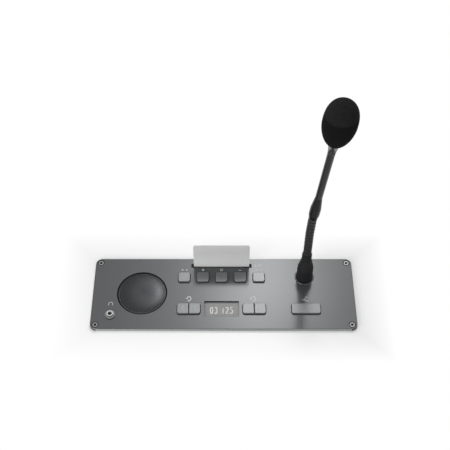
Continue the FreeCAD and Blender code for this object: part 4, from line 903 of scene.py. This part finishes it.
voteX = [middle(f"vote_key_{i}")[0] for i in range(1, 6)]
voteMarkY = markLook["voteRow"]
panelMark("markTwoDots", [],
          [((voteX[0] - 2.05, voteMarkY), 0.8), ((voteX[0] + 2.05, voteMarkY), 0.8)])
panelMark("markPlus",
          [[(voteX[1] - 1.2, voteMarkY), (voteX[1] + 1.2, voteMarkY)],
           [(voteX[1], voteMarkY - 1.3), (voteX[1], voteMarkY + 1.3)]], width=0.75)
panelMark("markRound", [(arc((voteX[2], voteMarkY), 1.15, 0, 342, 19), True)], width=0.45)
panelMark("markMinus",
          [[(voteX[3] - 1.4, voteMarkY - 0.3), (voteX[3] + 1.4, voteMarkY - 0.3)]], width=0.55)
panelMark("markDashes",
          [[(voteX[4] - 3.3, voteMarkY - 0.2), (voteX[4] - 0.7, voteMarkY - 0.2)],
           [(voteX[4] + 0.9, voteMarkY - 0.2), (voteX[4] + 3.3, voteMarkY - 0.2)]], width=0.5)
iconX, iconY = voteX[4] - 0.3, markLook["iconRow"]
panelMark("markWindow",
          [[(iconX - 1.2, iconY + 1.5), (iconX - 2.6, iconY + 1.5), (iconX - 2.6, iconY - 1.6)],
           [(iconX + 1.2, iconY + 1.5), (iconX + 2.6, iconY + 1.5), (iconX + 2.6, iconY - 1.6)],
           [(iconX, iconY + 0.6), (iconX, iconY - 1.6)]], width=0.48)
jackX, jackY = middle("jack_nut")
panelMark("markHeadphones", headphoneMark(jackX - 0.3, jackY + 12.1, 4.6))

channelX = (middle("channel_down_key")[0] + middle("channel_up_key")[0]) / 2
volumeX = (middle("volume_down_key")[0] + middle("volume_up_key")[0]) / 2
rowMarkY = markLook["keyRow"]
panelMark("markListen",
          [arc((channelX, rowMarkY), 1.75, 165, -100, 20, 1.3),
           [(channelX - 2.8, rowMarkY + 0.1), (channelX - 1.2, rowMarkY + 0.1)],
           [(channelX - 1.1, rowMarkY - 2.4), (channelX + 1.0, rowMarkY - 2.4)]], width=0.85)
panelMark("markVolume",
          [[(volumeX - 4.0, rowMarkY - 0.1), (volumeX - 2.1, rowMarkY - 0.1)],
           [(volumeX - 2.7, rowMarkY + 0.1), (volumeX - 0.5, rowMarkY + 2.4)],
           arc((volumeX - 0.2, rowMarkY), 1.75, 95, -110, 20, 1.35)], width=0.8)
micX = middle("mic_key")[0]
panelMark("markMicrophone",
          [arc((micX + 1.2, rowMarkY + 0.9), 1.0, 0, 180),
           [(micX + 0.2, rowMarkY + 0.8), (micX - 1.4, rowMarkY - 1.6)],
           arc((micX - 1.5, rowMarkY - 0.1), 1.4, 180, 320),
           [(micX - 0.2, rowMarkY - 2.1), (micX + 2.2, rowMarkY - 2.1)]],
          width=0.48)

arrow = {"tip": 1.5, "back": 0.9, "half": 2.6, "width": 0.5}
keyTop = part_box("mic_key")[1].z
engraved = mouldedBlack("keyPrint", 0.36, 0.5)
for node in ("channel_down_key", "channel_up_key", "volume_down_key", "volume_up_key"):
    direction = -1 if "down" in node else 1
    x, y = middle(node)
    tip, back = x + arrow["tip"] * direction, x - arrow["back"] * direction
    chevron = [(back, y + arrow["half"]), (tip, y), (back, y - arrow["half"])]
    marks("print" + "".join(word.title() for word in node.split("_")), node, engraved, keyTop,
          [chevron], width=arrow["width"])
print("marks: printed")


# Characters of the display: plain numbers drawn with one stroke

def digitStroke(digit):
    # Points of a digit in a box one unit wide and one unit tall
    if digit == "0":
        return arc((0.5, 0.5), 0.5, 0, 345, 23), True
    if digit == "1":
        return [(0.15, 0.76), (0.6, 1.0), (0.6, 0.0)], False
    if digit == "2":
        top = arc((0.5, 0.73), 0.46, 165, -30, 13, 0.27 / 0.46)
        return top + [(0.04, 0.0), (1.0, 0.0)], False
    if digit == "3":
        upper = arc((0.47, 0.76), 0.43, 150, -75, 15, 0.24 / 0.43)
        lower = arc((0.47, 0.27), 0.5, 60, -150, 14, 0.27 / 0.5)
        return upper + [(0.45, 0.54)] + lower, False
    lower = arc((0.44, 0.31), 0.54, 120, -150, 18, 0.31 / 0.54)
    return [(0.92, 1.0), (0.16, 1.0), (0.1, 0.5)] + lower, False


displayText = {"text": "03 125", "left": -13.0, "below": 0.1, "wide": 3.2, "tall": 7.7, "step": 4.1,
               "space": 2.4, "stroke": 0.95, "dark": (0.57, 0.57, 0.55), "light": (0.64, 0.64, 0.62)}


def displayDigits():
    look = displayText
    cursor = look["left"] + look["stroke"] / 2
    foot = middle("display_lens")[1] - look["below"] - look["tall"] / 2
    wide, tall = look["wide"] - look["stroke"], look["tall"] - look["stroke"]
    strokes = []
    for character in look["text"]:
        if character == " ":
            cursor += look["space"]
            continue
        points, closed = digitStroke(character)
        strokes.append(([(cursor + wide * u, foot + tall * v) for u, v in points], closed))
        cursor += look["step"]
    lit = Finish("litCharacters", Roughness=0.5)
    speck = lit.noise(0.4, 2)
    lit.set(Base_Color=lit.mix(speck, look["dark"], look["light"]))
    return marks("displayDigits", "chassis", lit.material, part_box("display_lens")[1].z, strokes,
                 width=look["stroke"])


displayDigits()
print("display: characters in place")


# Stage: a white table with its cut-out hidden under the panel, soft lamps, pale surroundings

stageLook = {"floorDrop": 0.0002, "reach": 4.0, "fill": 0.6, "floor": 0.8, "floorGloss": 0.3, "whiteFrom": 1,
             "whiteOver": 32, "inset": 0.004}
# The soft lamp behind fades outwards: upright ovals one behind the other, each wider than the one before
backLamp = {"place": (0.073, 0.512, 0.736), "widths": (0.079, 0.142, 0.205, 0.285, 0.383, 0.516, 0.691),
            "radiance": (1.7, 2.3, 2.2, 1.3, 0.75, 0.65, 0.3), "tall": 1.45, "gap": 0.002}
frontLamp = {"place": (-0.34, -0.36, 0.26), "wide": 0.35, "high": 0.25, "radiance": 5.2}


def straightRays(tree):
    # 1 for whatever the camera sees, directly, mirrored or through something clear
    camera, glossy, through = (addNode(tree, "LightPath", out=f"Is {kind} Ray")
                               for kind in ("Camera", "Glossy", "Transmission"))
    return (camera + glossy + through).clamped()


def table():
    # The table top turns plain white away from the panel
    low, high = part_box("front_panel")
    inset = stageLook["inset"]
    hole = [(low.x + inset, low.y + inset), (high.x - inset, low.y + inset), (high.x - inset, high.y - inset),
            (low.x + inset, high.y - inset)]
    reach = stageLook["reach"]
    rim = [(-reach, -reach), (reach, -reach), (reach, reach), (-reach, reach)]
    height = -stageLook["floorDrop"]
    vertices = [(x, y, height) for x, y in rim + hole]
    faces = [(i, (i + 1) % 4, 4 + (i + 1) % 4, 4 + i) for i in range(4)]
    finish = Finish("tableTop", Roughness=stageLook["floorGloss"], IOR=1.5)
    cloud = finish.noise(80, 2)
    level = stageLook["floor"]
    finish.set(Base_Color=finish.mix(cloud, (level - 0.01,) * 3, (level + 0.01,) * 3))
    x, y, z = finish.split(finish.place())
    away = finish.node("Math", {"operation": "MAXIMUM"}, {0: abs(x) - high.x / mm, 1: abs(y) - high.y / mm})
    fade = ((away - stageLook["whiteFrom"]) * (1 / stageLook["whiteOver"])).clamped()
    white = fade * straightRays(finish.tree)
    coat = Wire(finish.tree, finish.shader.outputs[0])
    blend = finish.node("MixShader", sockets={0: white, 1: coat, 2: finish.node("Emission")})
    finish.tree.links.new(blend.socket, finish.tree.nodes["Material Output"].inputs["Surface"])
    mesh = bpy.data.meshes.new("tableTop")
    mesh.from_pydata(vertices, [], faces)
    mesh.materials.append(finish.material)
    floor = bpy.data.objects.new("tableTop", mesh)
    bpy.context.scene.collection.objects.link(floor)


def surroundings():
    world = bpy.data.worlds.new("paleRoom")
    world.use_nodes = True
    tree = world.node_tree
    background = tree.nodes["Background"]
    background.inputs["Color"].default_value = (1, 1, 1, 1)
    strength = straightRays(tree) * (1 - stageLook["fill"]) + stageLook["fill"]
    tree.links.new(strength.socket, background.inputs["Strength"])
    bpy.context.scene.world = world


def areaLamp(name, place, wide, high, radiance, shape="RECTANGLE"):
    # Aimed at the middle of the panel; its power follows from its size and how bright it looks
    lamp = bpy.data.lights.new(name, "AREA")
    lamp.shape = shape
    lamp.size, lamp.size_y = wide, high
    area = wide * high * (math.pi / 4 if shape == "ELLIPSE" else 1)
    lamp.energy = radiance * math.pi * area
    holder = bpy.data.objects.new(name, lamp)
    holder.location = place
    holder.rotation_euler = (-Vector(place)).to_track_quat("-Z", "Y").to_euler()
    bpy.context.scene.collection.objects.link(holder)


def softLamps():
    for i, (wide, radiance) in enumerate(zip(backLamp["widths"], backLamp["radiance"])):
        # Each wider oval hangs a little further back, so that none hides another
        place = Vector(backLamp["place"]) * (1 + backLamp["gap"] * i)
        areaLamp(f"backLamp{i + 1}", place, wide, wide * backLamp["tall"], radiance, "ELLIPSE")
    areaLamp("frontLamp", frontLamp["place"], frontLamp["wide"], frontLamp["high"], frontLamp["radiance"])


table()
surroundings()
softLamps()

cameraLook = {"focal": 895.705, "image": 450, "sensor": 36.0, "elevation": 52.581, "distance": 0.910321,
              "target": (0, 0.08414, 0), "offCentre": 1.35}


def frontCamera():
    look = cameraLook
    data = bpy.data.cameras.new("frontCamera")
    data.sensor_width = look["sensor"]
    data.lens = look["focal"] * look["sensor"] / look["image"]
    data.shift_x = look["offCentre"] / look["image"]
    elevation = math.radians(look["elevation"])
    camera = bpy.data.objects.new("frontCamera", data)
    back = Vector((0, -math.cos(elevation), math.sin(elevation)))
    camera.location = Vector(look["target"]) + back * look["distance"]
    camera.rotation_euler = (math.pi / 2 - elevation, 0, 0)
    bpy.context.scene.collection.objects.link(camera)
    bpy.context.scene.camera = camera


frontCamera()
bpy.context.scene.view_settings.view_transform = "Standard"
print("stage: lamps, room and camera ready")
